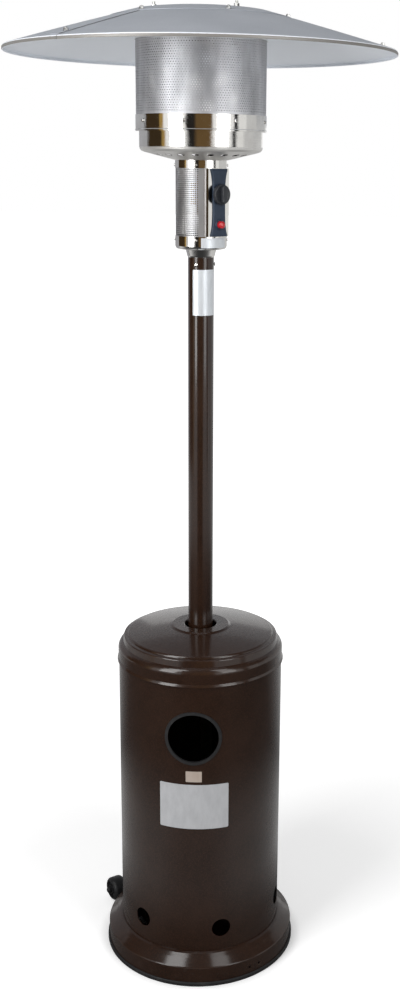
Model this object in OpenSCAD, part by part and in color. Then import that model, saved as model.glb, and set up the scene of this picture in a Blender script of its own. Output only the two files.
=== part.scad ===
// Gas patio heater: round base, lifting tank housing, post, control head, burner drum, reflector.
// Millimetres, Z up. The origin is on the floor at the middle of the base.
// The hand hole of the tank housing faces -Y. An azimuth is in degrees about Z, from -Y towards +X.

/* [Base] */
// How far the base pan's wall stands out beyond the tank housing
base_flare = 33; // [20:0.5:60]
// Height of the pan's floor above the ground
base_h = 69; // [50:1:110]
// Height of the sloping shoulder between the pan's wall and its floor
base_slope_h = 20; // [10:1:30]
// Sheet thickness of the base pan
base_sheet = 1.5; // [1:0.1:3]
// Height of the rubber edging round the foot of the pan
edging_h = 10; // [8:0.5:16]
// How far the edging stands out from the pan's wall
edging_out = 3.5; // [2:0.5:8]
// Azimuth of the spare pair of fixing holes in the pan's wall
spare_az = 40; // [0:1:90]
// Angle between the two holes of a fixing pair
pair_pitch = 7; // [5:0.5:10]

/* [Tank housing] */
// Outer radius of the housing shell
housing_r = 189; // [170:1:230]
// Height of the housing shell
housing_h = 686; // [600:1:800]
// Sheet thickness of the housing and its cap
housing_sheet = 1; // [0.8:0.1:2]
// Clear radius of the hand hole, inside its rubber edging
hand_hole_r = 57; // [40:1:75]
// Distance from the top edge of the shell down to the hand hole's centre
hand_hole_drop = 149; // [120:1:220]
// Width of the rubber edging round the hand hole
hole_edging_w = 7; // [5:0.5:10]
// Thickness of each lip of that edging
hole_edging_t = 2; // [1:0.5:3]
// Radius of a vent hole
vent_r = 22; // [12:1:30]
// Height of the vent holes above the pan's floor
vent_up = 57; // [35:1:90]
// Azimuth of the first vent hole
vent_az = 20; // [0:1:59]
// Number of vent holes round the shell
vent_count = 6; // [3:1:9]

/* [Housing cap] */
// Height of the cap's skirt over the shell
cap_lap = 27.5; // [15:0.5:50]
// Radius of the cap's shoulder curve
shoulder_r = 16; // [10:0.5:24]
// Height of the cap's neck between its shoulder and its top step
neck_h = 13; // [8:0.5:24]
// Rise of the cap's top from its edge to the boss
crown_rise = 13; // [4:0.5:20]
// Radius of the raised boss round the post
boss_r = 67; // [60:1:90]
// Height of the raised boss
boss_h = 3.5; // [3:0.5:12]
// Clearance between the post and the hole in the cap
cap_hole_gap = 8.5; // [6:0.5:12]

/* [Supports] */
// Width of a flat support leg
leg_w = 30; // [20:1:40]
// Thickness of a flat support leg
leg_t = 3; // [2:0.5:5]
// Clearance between a leg and the inside of the housing
leg_clear = 12; // [10:0.5:16]
// Length of the bent feet of a leg
leg_foot = 24; // [20:1:28]
// Thickness of the plate that carries the post
plate_t = 3; // [2:0.5:6]
// Height of the plate's underside above the top edge of the shell
plate_up = 11; // [8:0.5:12]
// Radius of the shank of a support bolt
bolt_r = 3; // [2.5:0.5:4]

/* [Post] */
// Outer radius of the post
post_r = 28; // [24:0.5:34]
// Wall thickness of the post
post_wall = 1.5; // [1:0.1:2.5]
// Length of the post
post_len = 877; // [700:1:1000]
// Radius of the flange at the foot of the post
flange_r = 47; // [44:1:56]
// Thickness of the flange at the foot of the post
flange_t = 5; // [3:0.5:8]

/* [Gas line] */
// Outer radius of the rigid gas pipe inside the post
pipe_r = 5; // [4:0.5:6]
// Radius of the hose spigot at the foot of the gas pipe
spigot_r = 5; // [4:0.1:6]
// Length of the hose spigot
spigot_len = 24; // [15:1:35]

/* [Control head] */
// Azimuth that the control panel faces
head_az = 43; // [0:1:90]
// Inside radius of the head's two polished rings
head_r = 54.3; // [50:0.1:66]
// Height of the head from its foot plate to the burner bowl
head_h = 184; // [170:1:230]
// Height of the polished ring at the head's foot
foot_ring_h = 27.5; // [15:0.5:32]
// Height of the polished ring at the head's top
crown_ring_h = 16; // [12:0.5:26]
// Height of the tapered collar between the post and the head
collar_h = 18; // [12:0.5:26]
// Sheet thickness of the head's rings and plates
head_sheet = 1; // [0.8:0.1:1.5]
// Half of the angle that the flat front takes out of the round guard
front_half = 31.5; // [24:0.5:34]
// Number of slots in one row of the guard
guard_cols = 16; // [8:1:20]
// Number of rows of slots in the guard
guard_rows = 20; // [8:1:24]
// Share of the row pitch that is open slot
guard_open = 0.45; // [0.25:0.05:0.6]

/* [Control panel] */
// How far the pressed tray behind the panel stands out of the head's flat front
tray_out = 14.5; // [8:0.5:18]
// Depth of the moulded control panel
panel_depth = 3.5; // [3:0.5:8]
// Half width of the panel at its top and bottom
panel_end = 23; // [18:0.5:24]
// Half width of the panel at its waist
panel_waist = 15.5; // [13:0.5:20]
// Distance from the head's foot plate up to the knob's axis
knob_up = 115; // [100:1:122]
// Distance from the knob's axis down to the igniter button
button_down = 62; // [46:1:66]
// Radius of the control knob
knob_r = 21.5; // [16:0.5:26]
// Depth of the knob's skirt
knob_skirt = 6.5; // [4:0.5:10]
// Depth of the knob's grip bar
knob_grip = 7; // [6:0.5:14]
// How far the knob can be pushed in
knob_push = 4; // [2:0.5:5]
// Radius of the igniter button
button_r = 7.5; // [4:0.1:8]
// How far the igniter button stands out of the panel
button_out = 11; // [6.5:0.5:12]
// How far the igniter button can be pushed in
button_push = 5; // [2:0.5:6]
// Radius of the valve spindle
spindle_r = 3.9; // [3:0.1:5]

/* [Burner] */
// Outer radius of the burner bowl
bowl_r = 130.2; // [115:0.2:160]
// Height of the bowl's upright wall
bowl_wall_h = 40; // [25:1:60]
// Rise of the bowl's conical floor
bowl_rise = 18; // [10:1:30]
// Number of air holes in the bowl's floor
bowl_holes = 20; // [8:1:24]
// Radius of an air hole in the bowl's floor
bowl_hole_r = 7.5; // [3:0.5:9]
// How far the screen stands out beyond the bowl
screen_step = 6; // [4:0.5:12]
// Height of the polished band at the foot of the screen
band_h = 32; // [20:1:45]
// Number of screws round the polished band
band_screw_count = 8; // [4:1:12]
// Height of the perforated screen above the band
screen_h = 160; // [120:1:200]
// Sheet thickness of the burner parts
burner_sheet = 1; // [0.8:0.1:1.5]
// Number of holes in one row of the screen
screen_cols = 36; // [18:1:40]
// Number of rows of holes in the screen
screen_rows = 8; // [4:1:9]
// Radius of a hole in the screen
screen_hole_r = 4; // [2:0.5:5]

/* [Reflector] */
// Radius of the reflector's rim
rim_r = 406.5; // [330:0.5:480]
// Radius of the flat middle of the centre plate
flat_r = 118; // [110:1:128]
// Radius from which the dish of the panels drops
crease_r = 150; // [140:1:170]
// Height of the gap between the drum's lid and the reflector
reflector_gap = 45; // [25:1:70]
// Drop from the flat middle to the dish at that radius
centre_drop = 7.5; // [4:0.5:20]
// Drop of the dish from there to the top of the rim band
dish_drop = 72; // [40:1:110]
// How much a panel bulges above a straight cone
dish_bulge = 1; // [0:0.5:8]
// Height of the upright band at the rim
rim_band = 5.5; // [4:0.5:16]
// Sheet thickness of the reflector
reflector_sheet = 1; // [0.8:0.1:1.5]
// Azimuth of the first lapped seam
seam_az = -38; // [-90:1:90]
// Width of a seam's strip on top of the next panel
seam_lap = 16; // [12:1:24]
// Azimuth of the first of the three studs
stud_az = 50; // [0:1:119]
// Radius of the circle of the three studs
stud_circle = 100; // [80:1:106]
// Radius of a stud
stud_r = 3; // [2.5:0.5:4]

/* [Wheels] */
// Azimuth of the wheel bracket
wheel_az = 216; // [180:1:270]
// Radius of a wheel
wheel_r = 29; // [28:0.5:45]
// Width of a wheel
wheel_w = 36; // [20:1:40]
// Distance from the middle of the axle to the middle of a wheel
track_half = 110; // [90:1:130]
// Height of the wheels above the floor while the heater stands
wheel_lift = 2; // [1:0.5:6]
// Radius of the axle
axle_r = 4; // [3:0.5:6]

/* [Fits] */
// Clearance between two fixed sheets that lie on each other
sheet_gap = 0.2; // [0.1:0.05:0.3]
// Radial clearance of a turning or sliding fit
run_gap = 0.08; // [0.03:0.01:0.1]
// Radial clearance of a screw or bolt in its hole
hole_gap = 0.3; // [0.2:0.05:0.5]

/* [Hidden] */
$fn = 96;

// Base and supports
base_r = housing_r + base_flare;
base_side_h = base_h - base_slope_h;
edging_floor = 3;
pair_z = edging_h + 0.4 * (base_side_h - edging_h);
leg_out = housing_r - housing_sheet - leg_clear;
leg_bolt_ring = leg_out - leg_t - leg_foot / 2;
housing_z0 = base_h + sheet_gap;
housing_z1 = housing_z0 + housing_h;
hole_z = housing_z1 - hand_hole_drop;
edging_web = 2;
plate_z = housing_z1 + plate_up;
plate_top = plate_z + plate_t;
flange_ring = (post_r + flange_r) / 2;
post_top = plate_top + sheet_gap + post_len;

// Cap
cap_r = housing_r + sheet_gap + housing_sheet;
cap_z0 = housing_z1 - cap_lap;
cap_turn = 72;
shoulder_in = cap_r - shoulder_r * (1 - cos(cap_turn));
shoulder_top = housing_z1 + 0.5 + shoulder_r * sin(cap_turn);
cap_hole_r = post_r + cap_hole_gap;
neck_in = shoulder_in - 2;
neck_top = shoulder_top + neck_h;
crown_out = neck_in - 16;
crown_edge = neck_top + 8.3;
crown_z = crown_edge + crown_rise;

// Control head
head_z = post_top + collar_h;
head_top = head_z + head_h;
foot_plate_z = head_z + 4;
ring_r = head_r + head_sheet;
guard_r = head_r - sheet_gap;
guard_in = guard_r - head_sheet;
ring_lap = 7;
guard_z0 = head_z + foot_ring_h - ring_lap;
guard_z1 = head_top - crown_ring_h + ring_lap;
front_face = guard_in * cos(front_half);
front_w = guard_in * sin(front_half) - 0.4;
tray_face = front_face + tray_out;
panel_back = tray_face + sheet_gap;
panel_face = panel_back + panel_depth;
panel_z0 = head_z + foot_ring_h + 0.8;
panel_z1 = head_top - crown_ring_h - 0.8;
knob_z = head_z + knob_up;
button_z = knob_z - button_down;
knob_back = panel_face + knob_push + 0.5;
knob_front = knob_back + knob_skirt + knob_grip;
spindle_hole = spindle_r + 1;
valve_front = tray_face - head_sheet - 0.5;
valve_body = 32;
valve_half = 24;
plunger_r = spindle_r + 4.3;
plunger_len = 7;
inlet_z = knob_z - valve_half - 18;
outlet_z = knob_z + valve_half + 16;
stem_r = 0.62 * button_r;
stem_in = 28;
button_in = panel_face - button_push - 1.5;
igniter_r = button_r + 3;
igniter_in = pipe_r + 3;

// Burner and reflector
bowl_z = head_top + sheet_gap;
bowl_mouth = 34;
bowl_foot = head_r + 2.5;
bowl_edge = bowl_z + bowl_rise;
bowl_top = bowl_edge + bowl_wall_h;
screen_r = bowl_r + screen_step;
band_r = screen_r + sheet_gap + burner_sheet;
screen_z0 = bowl_top + sheet_gap;
band_top = screen_z0 + band_h;
lid_z = band_top + screen_h;
lid_top = lid_z + sheet_gap + burner_sheet;
tube_r = 12;
cup_z = bowl_z + 30;
cup_rise = 35;
cup_r = 0.77 * bowl_r;
gauze_z = cup_z + cup_rise + 7;
pilot_ring = 0.87 * bowl_r;
centre_under = lid_top + reflector_gap;
centre_top = centre_under + reflector_sheet;
crease_z = centre_top - centre_drop;
dish_r = rim_r - 2.5;
dish_end_z = crease_z - dish_drop;
panel_in = crease_r - 5;
centre_r = crease_r + 39;
lap_up = 2 * reflector_sheet + 2 * sheet_gap + 0.2;
dish_tilt = atan(dish_drop / (dish_r - crease_r));
inner_bolt_r = crease_r + 28;
outer_bolt_r = rim_r - 33;
bead_r = 1.5;
stud_top = centre_top + 13;

// Wheels
axle_z = wheel_r + wheel_lift;
wheel_in = track_half - wheel_w / 2;
ear_out = wheel_in - 5;
ear_t = 3;
ear_r = axle_r + 5;
bracket_in = base_r + 0.3;
bracket_t = 2.5;
wheel_reach = sqrt(pow(base_r + edging_out, 2) - pow(wheel_in, 2)) + wheel_r - 2;
bolt_reach = (bracket_in + bracket_t + sheet_gap + 0.1 + 1.3 * bolt_r) * cos(pair_pitch / 2);
axle_d = max(wheel_reach, bolt_reach + axle_r + 0.3);
bracket_half = asin((ear_out - 1) / (bracket_in + bracket_t));
axle_half = track_half + wheel_w / 2 + 8;

// Colours
brown = [0.24, 0.15, 0.10];
black = [0.08, 0.08, 0.08];
steel = [0.75, 0.75, 0.77];
dull = [0.55, 0.55, 0.56];
zinc = [0.68, 0.68, 0.66];
brass = [0.72, 0.57, 0.27];
red = [0.75, 0.10, 0.08];
slate = [0.20, 0.23, 0.29];
ivory = [0.90, 0.88, 0.82];

// Direction helpers for offset outlines
function unit(v) = v / norm(v);
function left_of(v) = [-v[1], v[0]];
function before(p, i) = i > 0 ? unit(left_of(p[i] - p[i - 1])) : unit(left_of(p[1] - p[0]));
function after(p, i) = i < len(p) - 1 ? unit(left_of(p[i + 1] - p[i])) : before(p, i);
function side_step(p, i, t) = p[i] + (before(p, i) + after(p, i)) * t / (1 + before(p, i) * after(p, i));
// Closed outline of a sheet that follows the path p, with thickness t on its left side
function sheet(p, t) = concat(p, [for (i = [len(p) - 1:-1:0]) side_step(p, i, t)]);
// Points of an arc of n steps from angle a0 to a1
function on_circle(c, r, a) = c + r * [cos(a), sin(a)];
function arc(c, r, a0, a1, n) = [for (i = [0:n]) on_circle(c, r, a0 + (a1 - a0) * i / n)];
// Quarter of a dome's outline, of radius r and rise h above the height z, from its edge to its top
function dome(r, h, z) = [for (a = [0:18:90]) [r * cos(a), z + h * sin(a)]];
// Height of the upper side of the panels' carrying surface at radius r
function dish_t(r) = (r - crease_r) / (dish_r - crease_r);
function dish_z(r) = crease_z - dish_drop * dish_t(r) + 4 * dish_bulge * dish_t(r) * (1 - dish_t(r));
// Height of the bowl's floor at radius r
function bowl_floor(r) = bowl_z + bowl_rise * (r - bowl_foot) / (bowl_r - bowl_foot);
// Half width of the control panel at s, from -1 at its foot to 1 at its top
function panel_half(s) = panel_waist + (panel_end - panel_waist) * pow(s, 4);

// Turns a thing built at -Y to an azimuth
module turned(az) {
  rotate([0, 0, az]) children();
}

// Puts a thing built along +Z onto the radial direction at an azimuth and a height
module radial(az, z) {
  turned(az) translate([0, 0, z]) rotate([90, 0, 0]) children();
}

// The head's own front direction
module front(z) {
  radial(head_az, z) children();
}

// Solid of revolution of a sheet path
module spun(p, t) {
  rotate_extrude() polygon(sheet(p, t));
}

// Tube between two heights
module tube(r_out, r_in, z0, z1) {
  translate([0, 0, z0]) difference() {
    cylinder(r = r_out, h = z1 - z0);
    translate([0, 0, -1]) cylinder(r = r_in, h = z1 - z0 + 2);
  }
}

// Domed screw with its head's seat at the local origin, head to +Z, and a cross recess
module dome_screw(top_r, top_h, shank_r, shank_len) {
  difference() {
    rotate_extrude($fn = 32)
      polygon(concat([[0, 0]], dome(top_r, 0.75 * top_h, 0.25 * top_h)));
    for (a = [0, 90])
      rotate([0, 0, a]) translate([-0.55 * top_r, -0.09 * top_r, 0.55 * top_h])
        cube([1.1 * top_r, 0.18 * top_r, top_h]);
  }
  translate([0, 0, -shank_len]) cylinder(r = shank_r, h = shank_len + 0.1, $fn = 24);
}

// Hexagon bolt down through a grip, head on top at the local origin, nut below
module hex_bolt(r, grip) {
  cylinder(r = 1.85 * r, h = 1.3 * r, $fn = 6);
  translate([0, 0, -grip - 2.6 * r]) cylinder(r = r, h = grip + 2.6 * r + 0.1, $fn = 24);
  translate([0, 0, -grip - 1.6 * r]) cylinder(r = 1.85 * r, h = 1.6 * r, $fn = 6);
}

// Round rod from a to b
module rod(a, b, r) {
  d = b - a;
  translate(a)
    rotate([0, acos(d[2] / norm(d)), atan2(d[1], d[0])])
      cylinder(r = r, h = norm(d), $fn = 24);
}

// Bent wire or pipe through the points p, with a round joint at each bend
module bent(p, r) {
  for (i = [0:len(p) - 2]) rod(p[i], p[i + 1], r);
  for (i = [1:len(p) - 2]) translate(p[i]) sphere(r = 1.5 * r, $fn = 24);
}

// Base and supports

module pan_path_solid() {
  r_round = 5;
  spun(concat(
    [[base_r, edging_floor + sheet_gap], [base_r, base_side_h - r_round]],
    arc([base_r - r_round, base_side_h - r_round], r_round, 12, 48, 3),
    [[housing_r + 0.45 * base_flare, base_h - 0.42 * base_slope_h],
     [housing_r + 0.2 * base_flare, base_h - 0.12 * base_slope_h],
     [housing_r + 2, base_h], [0, base_h]]), base_sheet);
}

module base_pan() {
  color(brown) difference() {
    pan_path_solid();
    for (a = [60, 180, 300])
      turned(a) translate([0, -leg_bolt_ring, base_h - 10]) cylinder(r = bolt_r + hole_gap, h = 20, $fn = 24);
    for (a = [spare_az, wheel_az], s = [-1, 1])
      radial(a + s * pair_pitch / 2, pair_z)
        translate([0, 0, base_r - 8]) cylinder(r = bolt_r + hole_gap, h = 16, $fn = 24);
  }
}

module base_edging() {
  slot_in = base_r - base_sheet - sheet_gap;
  slot_out = base_r + sheet_gap;
  color(black) rotate_extrude() polygon([
    [slot_in - 3, 0], [base_r + edging_out - 1, 0], [base_r + edging_out, 1],
    [base_r + edging_out, edging_h - 2], [base_r + edging_out - 1.5, edging_h],
    [slot_out, edging_h], [slot_out, edging_floor], [slot_in, edging_floor],
    [slot_in, edging_h - 1], [slot_in - 2, edging_h - 1], [slot_in - 3, edging_h - 2]]);
}

module support_leg() {
  z0 = base_h + sheet_gap;
  z1 = plate_z - sheet_gap;
  color(zinc) difference() {
    union() {
      translate([-leg_w / 2, -leg_out, z0]) cube([leg_w, leg_t, z1 - z0]);
      for (z = [z0, z1 - leg_t])
        translate([-leg_w / 2, -leg_out, z]) cube([leg_w, leg_t + leg_foot, leg_t]);
    }
    for (z = [z0, z1 - leg_t])
      translate([0, -leg_bolt_ring, z - 1]) cylinder(r = bolt_r + hole_gap, h = leg_t + 2, $fn = 24);
    translate([0, -leg_out - 1, z0 + 40]) rotate([-90, 0, 0]) cylinder(r = 4, h = leg_t + 2, $fn = 24);
  }
}

module support_leg_right() {
  turned(60) support_leg();
}

module support_leg_rear() {
  turned(180) support_leg();
}

module support_leg_left() {
  turned(300) support_leg();
}

module leg_bolts() {
  foot_top = base_h + sheet_gap + leg_t;
  color(zinc) for (a = [60, 180, 300]) turned(a) {
    translate([0, -leg_bolt_ring, foot_top + sheet_gap]) hex_bolt(bolt_r, leg_t + base_sheet + 3 * sheet_gap);
    translate([0, -leg_bolt_ring, plate_top + sheet_gap]) hex_bolt(bolt_r, plate_t + leg_t + 3 * sheet_gap);
  }
}

module post_plate() {
  color(zinc) translate([0, 0, plate_z]) difference() {
    union() {
      cylinder(r = flange_r + 12, h = plate_t);
      for (a = [60, 180, 300]) turned(a) {
        translate([-leg_w / 2 - 2, -leg_out, 0]) cube([leg_w + 4, leg_out, plate_t]);
      }
    }
    translate([0, 0, -1]) cylinder(r = pipe_r + 4, h = plate_t + 2, $fn = 48);
    for (a = [60, 180, 300])
      turned(a) translate([0, -leg_bolt_ring, -1]) cylinder(r = bolt_r + hole_gap, h = plate_t + 2, $fn = 24);
    for (a = [0:90:270])
      turned(a) translate([0, -flange_ring, -1]) cylinder(r = bolt_r + hole_gap, h = plate_t + 2, $fn = 24);
  }
}

module post_flange() {
  color(zinc) translate([0, 0, plate_top + sheet_gap]) difference() {
    cylinder(r = flange_r, h = flange_t);
    translate([0, 0, -1]) cylinder(r = post_r + run_gap, h = flange_t + 2);
    for (a = [0:90:270])
      turned(a) translate([0, -flange_ring, -1]) cylinder(r = bolt_r + hole_gap, h = flange_t + 2, $fn = 24);
  }
}

module flange_bolts() {
  color(zinc) for (a = [0:90:270])
    turned(a) translate([0, -flange_ring, plate_top + 2 * sheet_gap + flange_t])
      hex_bolt(bolt_r, flange_t + plate_t + 3 * sheet_gap);
}

module post() {
  color(brown) difference() {
    tube(post_r, post_r - post_wall, plate_top + sheet_gap, post_top);
    for (s = [-60, 60, 180])
      radial(head_az + s, post_top - 15) translate([0, 0, post_r - 8]) cylinder(r = 2.3, h = 16, $fn = 24);
  }
}

// Gas line

module gas_pipe() {
  color(brass) tube(pipe_r, pipe_r - 1.5, plate_z - 30, inlet_z + 14);
}

module hose_nipple() {
  pipe_end = plate_z - 30;
  color(brass) difference() {
    union() {
      translate([0, 0, pipe_end - 14]) cylinder(r = spigot_r + 5.5, h = 20, $fn = 6);
      translate([0, 0, pipe_end - 18]) cylinder(r = spigot_r + 2, h = 5, $fn = 48);
      translate([0, 0, pipe_end - 18 - spigot_len]) cylinder(r = spigot_r, h = spigot_len + 1, $fn = 48);
    }
    translate([0, 0, pipe_end - sheet_gap]) cylinder(r = pipe_r + run_gap, h = 20, $fn = 48);
    translate([0, 0, pipe_end - 19 - spigot_len]) cylinder(r = spigot_r - 1.8, h = spigot_len + 30, $fn = 48);
  }
}

// Wheels

module on_axle() {
  turned(wheel_az) translate([0, -axle_d, axle_z]) rotate([0, 90, 0]) children();
}

module wheel_bracket() {
  z0 = edging_h + 3;
  z1 = max(axle_z, pair_z) + ear_r + 2;
  sweep = 2 * bracket_half;
  color(zinc) difference() {
    union() {
      turned(wheel_az) rotate([0, 0, -90 - bracket_half]) rotate_extrude(angle = sweep)
        translate([bracket_in, z0]) square([bracket_t, z1 - z0]);
      turned(wheel_az) for (s = [-1, 1]) difference() {
        union() {
          translate([s > 0 ? ear_out - ear_t : -ear_out, -axle_d, axle_z - ear_r])
            cube([ear_t, axle_d - (bracket_in + bracket_t / 2) * cos(bracket_half), 2 * ear_r]);
          translate([s > 0 ? ear_out - ear_t : -ear_out, -axle_d, axle_z])
            rotate([0, 90, 0]) cylinder(r = ear_r, h = ear_t, $fn = 48);
        }
        translate([-ear_out - 1, -axle_d, axle_z]) rotate([0, 90, 0])
          cylinder(r = axle_r + run_gap, h = 2 * ear_out + 2, $fn = 48);
      }
    }
    for (s = [-1, 1])
      radial(wheel_az + s * pair_pitch / 2, pair_z)
        translate([0, 0, base_r - 8]) cylinder(r = bolt_r + hole_gap, h = 16, $fn = 24);
  }
}

module bracket_bolts() {
  color(zinc) for (s = [-1, 1])
    radial(wheel_az + s * pair_pitch / 2, pair_z)
      translate([0, 0, bracket_in + bracket_t + sheet_gap + 0.1])
        hex_bolt(bolt_r, bracket_t + base_sheet + 0.6 + 2 * sheet_gap);
}

module wheel_axle() {
  color(dull) on_axle() translate([0, 0, -axle_half]) cylinder(r = axle_r, h = 2 * axle_half, $fn = 48);
}

module axle_spacers() {
  color(dull) on_axle() for (s = [-1, 1])
    translate([0, 0, s > 0 ? ear_out + sheet_gap : -wheel_in + 0.4])
      difference() {
        cylinder(r = axle_r + 4, h = wheel_in - ear_out - sheet_gap - 0.4, $fn = 48);
        translate([0, 0, -1]) cylinder(r = axle_r + run_gap, h = 20, $fn = 48);
      }
}

module axle_caps() {
  face = track_half + wheel_w / 2 + 0.4;
  cap_out = axle_r + 4;
  color(steel) on_axle() for (turn = [0, 180]) rotate([turn, 0, 0]) translate([0, 0, face]) difference() {
    rotate_extrude($fn = 48) polygon(concat([[0, 0], [cap_out, 0]], dome(cap_out, 5, 4.5)));
    translate([0, 0, -1]) cylinder(r = axle_r + run_gap, h = axle_half - face + 1.2, $fn = 48);
  }
}

module wheel() {
  r_round = 9;
  half = wheel_w / 2;
  hub = axle_r + 7;
  dish = wheel_r - 8;
  bore = axle_r + run_gap;
  color(black) difference() {
    rotate_extrude() polygon(concat(
      [[bore, -half], [hub, -half], [hub + 1, 5 - half], [dish - 1, 5 - half], [dish, -half]],
      arc([wheel_r - r_round, r_round - half], r_round, -80, 0, 5),
      arc([wheel_r - r_round, half - r_round], r_round, 0, 80, 5),
      [[dish, half], [dish - 1, half - 5], [hub + 1, half - 5], [hub, half], [bore, half]]));
    for (a = [0:60:300], s = [-1, 1])
      rotate([0, 0, a]) translate([(hub + dish) / 2, 0, s * half])
        cylinder(r = 3, h = 16, center = true, $fn = 24);
  }
}

module wheel_left() {
  on_axle() translate([0, 0, track_half]) wheel();
}

module wheel_right() {
  on_axle() translate([0, 0, -track_half]) wheel();
}

// Tank housing

module tank_housing() {
  color(brown) difference() {
    tube(housing_r, housing_r - housing_sheet, housing_z0, housing_z1);
    radial(0, hole_z) translate([0, 0, housing_r - 40]) cylinder(r = hand_hole_r + edging_web, h = 60);
    for (i = [0:vent_count - 1])
      radial(vent_az + 360 * i / vent_count, base_h + vent_up)
        translate([0, 0, housing_r - 15]) cylinder(r = vent_r, h = 30);
  }
}

// Ring of width w round the hand hole, between two depths from the shell's outside
module hole_ring(w, d0, d1) {
  intersection() {
    radial(0, hole_z) translate([0, 0, housing_r - 40]) difference() {
      cylinder(r = hand_hole_r + w, h = 60);
      translate([0, 0, -1]) cylinder(r = hand_hole_r, h = 62);
    }
    tube(housing_r + d1, housing_r + d0, hole_z - 2 * hand_hole_r, hole_z + 2 * hand_hole_r);
  }
}

module hole_edging() {
  inside = -housing_sheet - sheet_gap;
  color(black) {
    hole_ring(edging_web - sheet_gap, inside - hole_edging_t, sheet_gap + hole_edging_t);
    hole_ring(hole_edging_w, sheet_gap, sheet_gap + 0.6 * hole_edging_t);
    hole_ring(hole_edging_w - 1, sheet_gap + 0.3, sheet_gap + hole_edging_t);
    hole_ring(hole_edging_w - 1, inside - hole_edging_t, inside);
  }
}

module housing_cap() {
  dome_run = boss_r + 3 - crown_out;
  dome = [for (i = [0:6]) let (t = i / 6)
    [crown_out + dome_run * t, crown_edge + crown_rise * (t + 0.4 * t * (1 - t))]];
  color(brown) spun(concat(
    [[cap_r + 2.4, cap_z0], [cap_r + 2.4, cap_z0 + 2], [cap_r + 1.4, cap_z0 + 4.5], [cap_r, cap_z0 + 7]],
    arc([cap_r - shoulder_r, housing_z1 + 0.5], shoulder_r, 0, cap_turn, 9),
    [[neck_in, neck_top], [neck_in - 0.6, neck_top + 1.3], [neck_in - 1.9, neck_top + 2.1],
     [neck_in - 8.6, neck_top + 3], [neck_in - 9.3, neck_top + 5.2], [neck_in - 10.5, neck_top + 6.7],
     [neck_in - 12.8, neck_top + 7.8]],
    dome,
    [[boss_r + 0.6, crown_z + 1], [boss_r - 0.6, crown_z + boss_h - 1.5],
     [boss_r - 2.6, crown_z + boss_h], [cap_hole_r + 2.4, crown_z + boss_h],
     [cap_hole_r + 0.6, crown_z + boss_h - 0.8], [cap_hole_r, crown_z + boss_h - 2.6],
     [cap_hole_r, crown_z + boss_h - 6]]), housing_sheet);
}

// Control head

module head_socket() {
  spigot_out = post_r - post_wall - run_gap;
  neck = post_r + 5;
  color(steel) difference() {
    union() {
      translate([0, 0, post_top - 45]) cylinder(r = spigot_out, h = 46);
      rotate_extrude() polygon([
        [spigot_out - 1, post_top + sheet_gap], [post_r + 0.5, post_top + sheet_gap],
        [post_r + 1.6, post_top + 3], [neck, head_z - 2], [neck + 4, head_z + 1.2],
        [head_r - 4.8, head_z + 1.2], [head_r - 4.8, foot_plate_z], [spigot_out - 1, foot_plate_z]]);
    }
    translate([0, 0, post_top - 50]) cylinder(r = spigot_out - 1.5, h = collar_h + 80);
    for (s = [-60, 60, 180])
      radial(head_az + s, post_top - 15) translate([0, 0, post_r - 8]) cylinder(r = 2.3, h = 16, $fn = 24);
  }
}

module post_screws() {
  color(steel) for (s = [-60, 60, 180])
    radial(head_az + s, post_top - 15) translate([0, 0, post_r + 0.25]) dome_screw(4.5, 3, 2, 9);
}

module screw_holes(z, r) {
  for (s = [-130, -50, 50, 130])
    radial(head_az + s, z) translate([0, 0, r - 8]) cylinder(r = 1.8, h = 16, $fn = 24);
}

module foot_ring() {
  color(steel) difference() {
    spun([[head_r - 8, head_z - 0.8], [ring_r - 4, head_z + 0.2], [ring_r - 1.2, head_z + 2.6],
          [ring_r, head_z + 6.5], [ring_r, head_z + foot_ring_h]], head_sheet);
    screw_holes(head_z + foot_ring_h - 8, head_r);
  }
}

module crown_ring() {
  color(steel) difference() {
    tube(ring_r, head_r, head_top - crown_ring_h, head_top);
    screw_holes(head_top - 10, head_r);
  }
}

module guard_screen() {
  span = 360 - 2 * front_half;
  pitch = (panel_z1 - panel_z0) / guard_rows;
  step = (span - 24) / guard_cols;
  slot_w = guard_r * step * PI / 180 * 0.72;
  color(dull) difference() {
    turned(head_az) rotate([0, 0, -90 + front_half]) rotate_extrude(angle = span)
      polygon([[guard_in, guard_z0], [guard_r, guard_z0], [guard_r, guard_z1], [guard_in, guard_z1]]);
    for (row = [0:guard_rows - 1], col = [0:guard_cols - 1])
      turned(head_az + front_half + 12 + (col + 0.5) * step)
        translate([-slot_w / 2, -guard_r - 3, panel_z0 + (row + 0.5 - guard_open / 2) * pitch])
          cube([slot_w, 8, guard_open * pitch]);
    screw_holes(head_z + foot_ring_h - 8, head_r);
    screw_holes(head_top - 10, head_r);
  }
}

module front_plate() {
  z0 = foot_plate_z + 1;
  tray_z0 = panel_z0 - 0.4;
  tray_h = panel_z1 + 0.4 - tray_z0;
  inner = front_w - head_sheet;
  color(steel) difference() {
    turned(head_az) union() {
      translate([-front_w, -front_face, z0]) cube([2 * front_w, head_sheet, head_top - 2 - z0]);
      translate([-front_w, -tray_face, tray_z0]) cube([2 * front_w, tray_out + head_sheet, tray_h]);
    }
    turned(head_az) translate([-inner, head_sheet - tray_face, tray_z0 + head_sheet])
      cube([2 * inner, tray_out + head_sheet, tray_h - 2 * head_sheet]);
    front(knob_z) translate([0, 0, valve_front]) cylinder(r = spindle_hole, h = 4, $fn = 48);
    front(button_z) translate([0, 0, valve_front]) cylinder(r = button_r + 0.6, h = 4, $fn = 48);
  }
}

module head_screws() {
  color(steel) for (s = [-130, -50, 50, 130], z = [head_z + foot_ring_h - 8, head_top - 10])
    radial(head_az + s, z) translate([0, 0, ring_r + 0.15]) dome_screw(3.4, 2.2, 1.6, 6);
}

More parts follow.
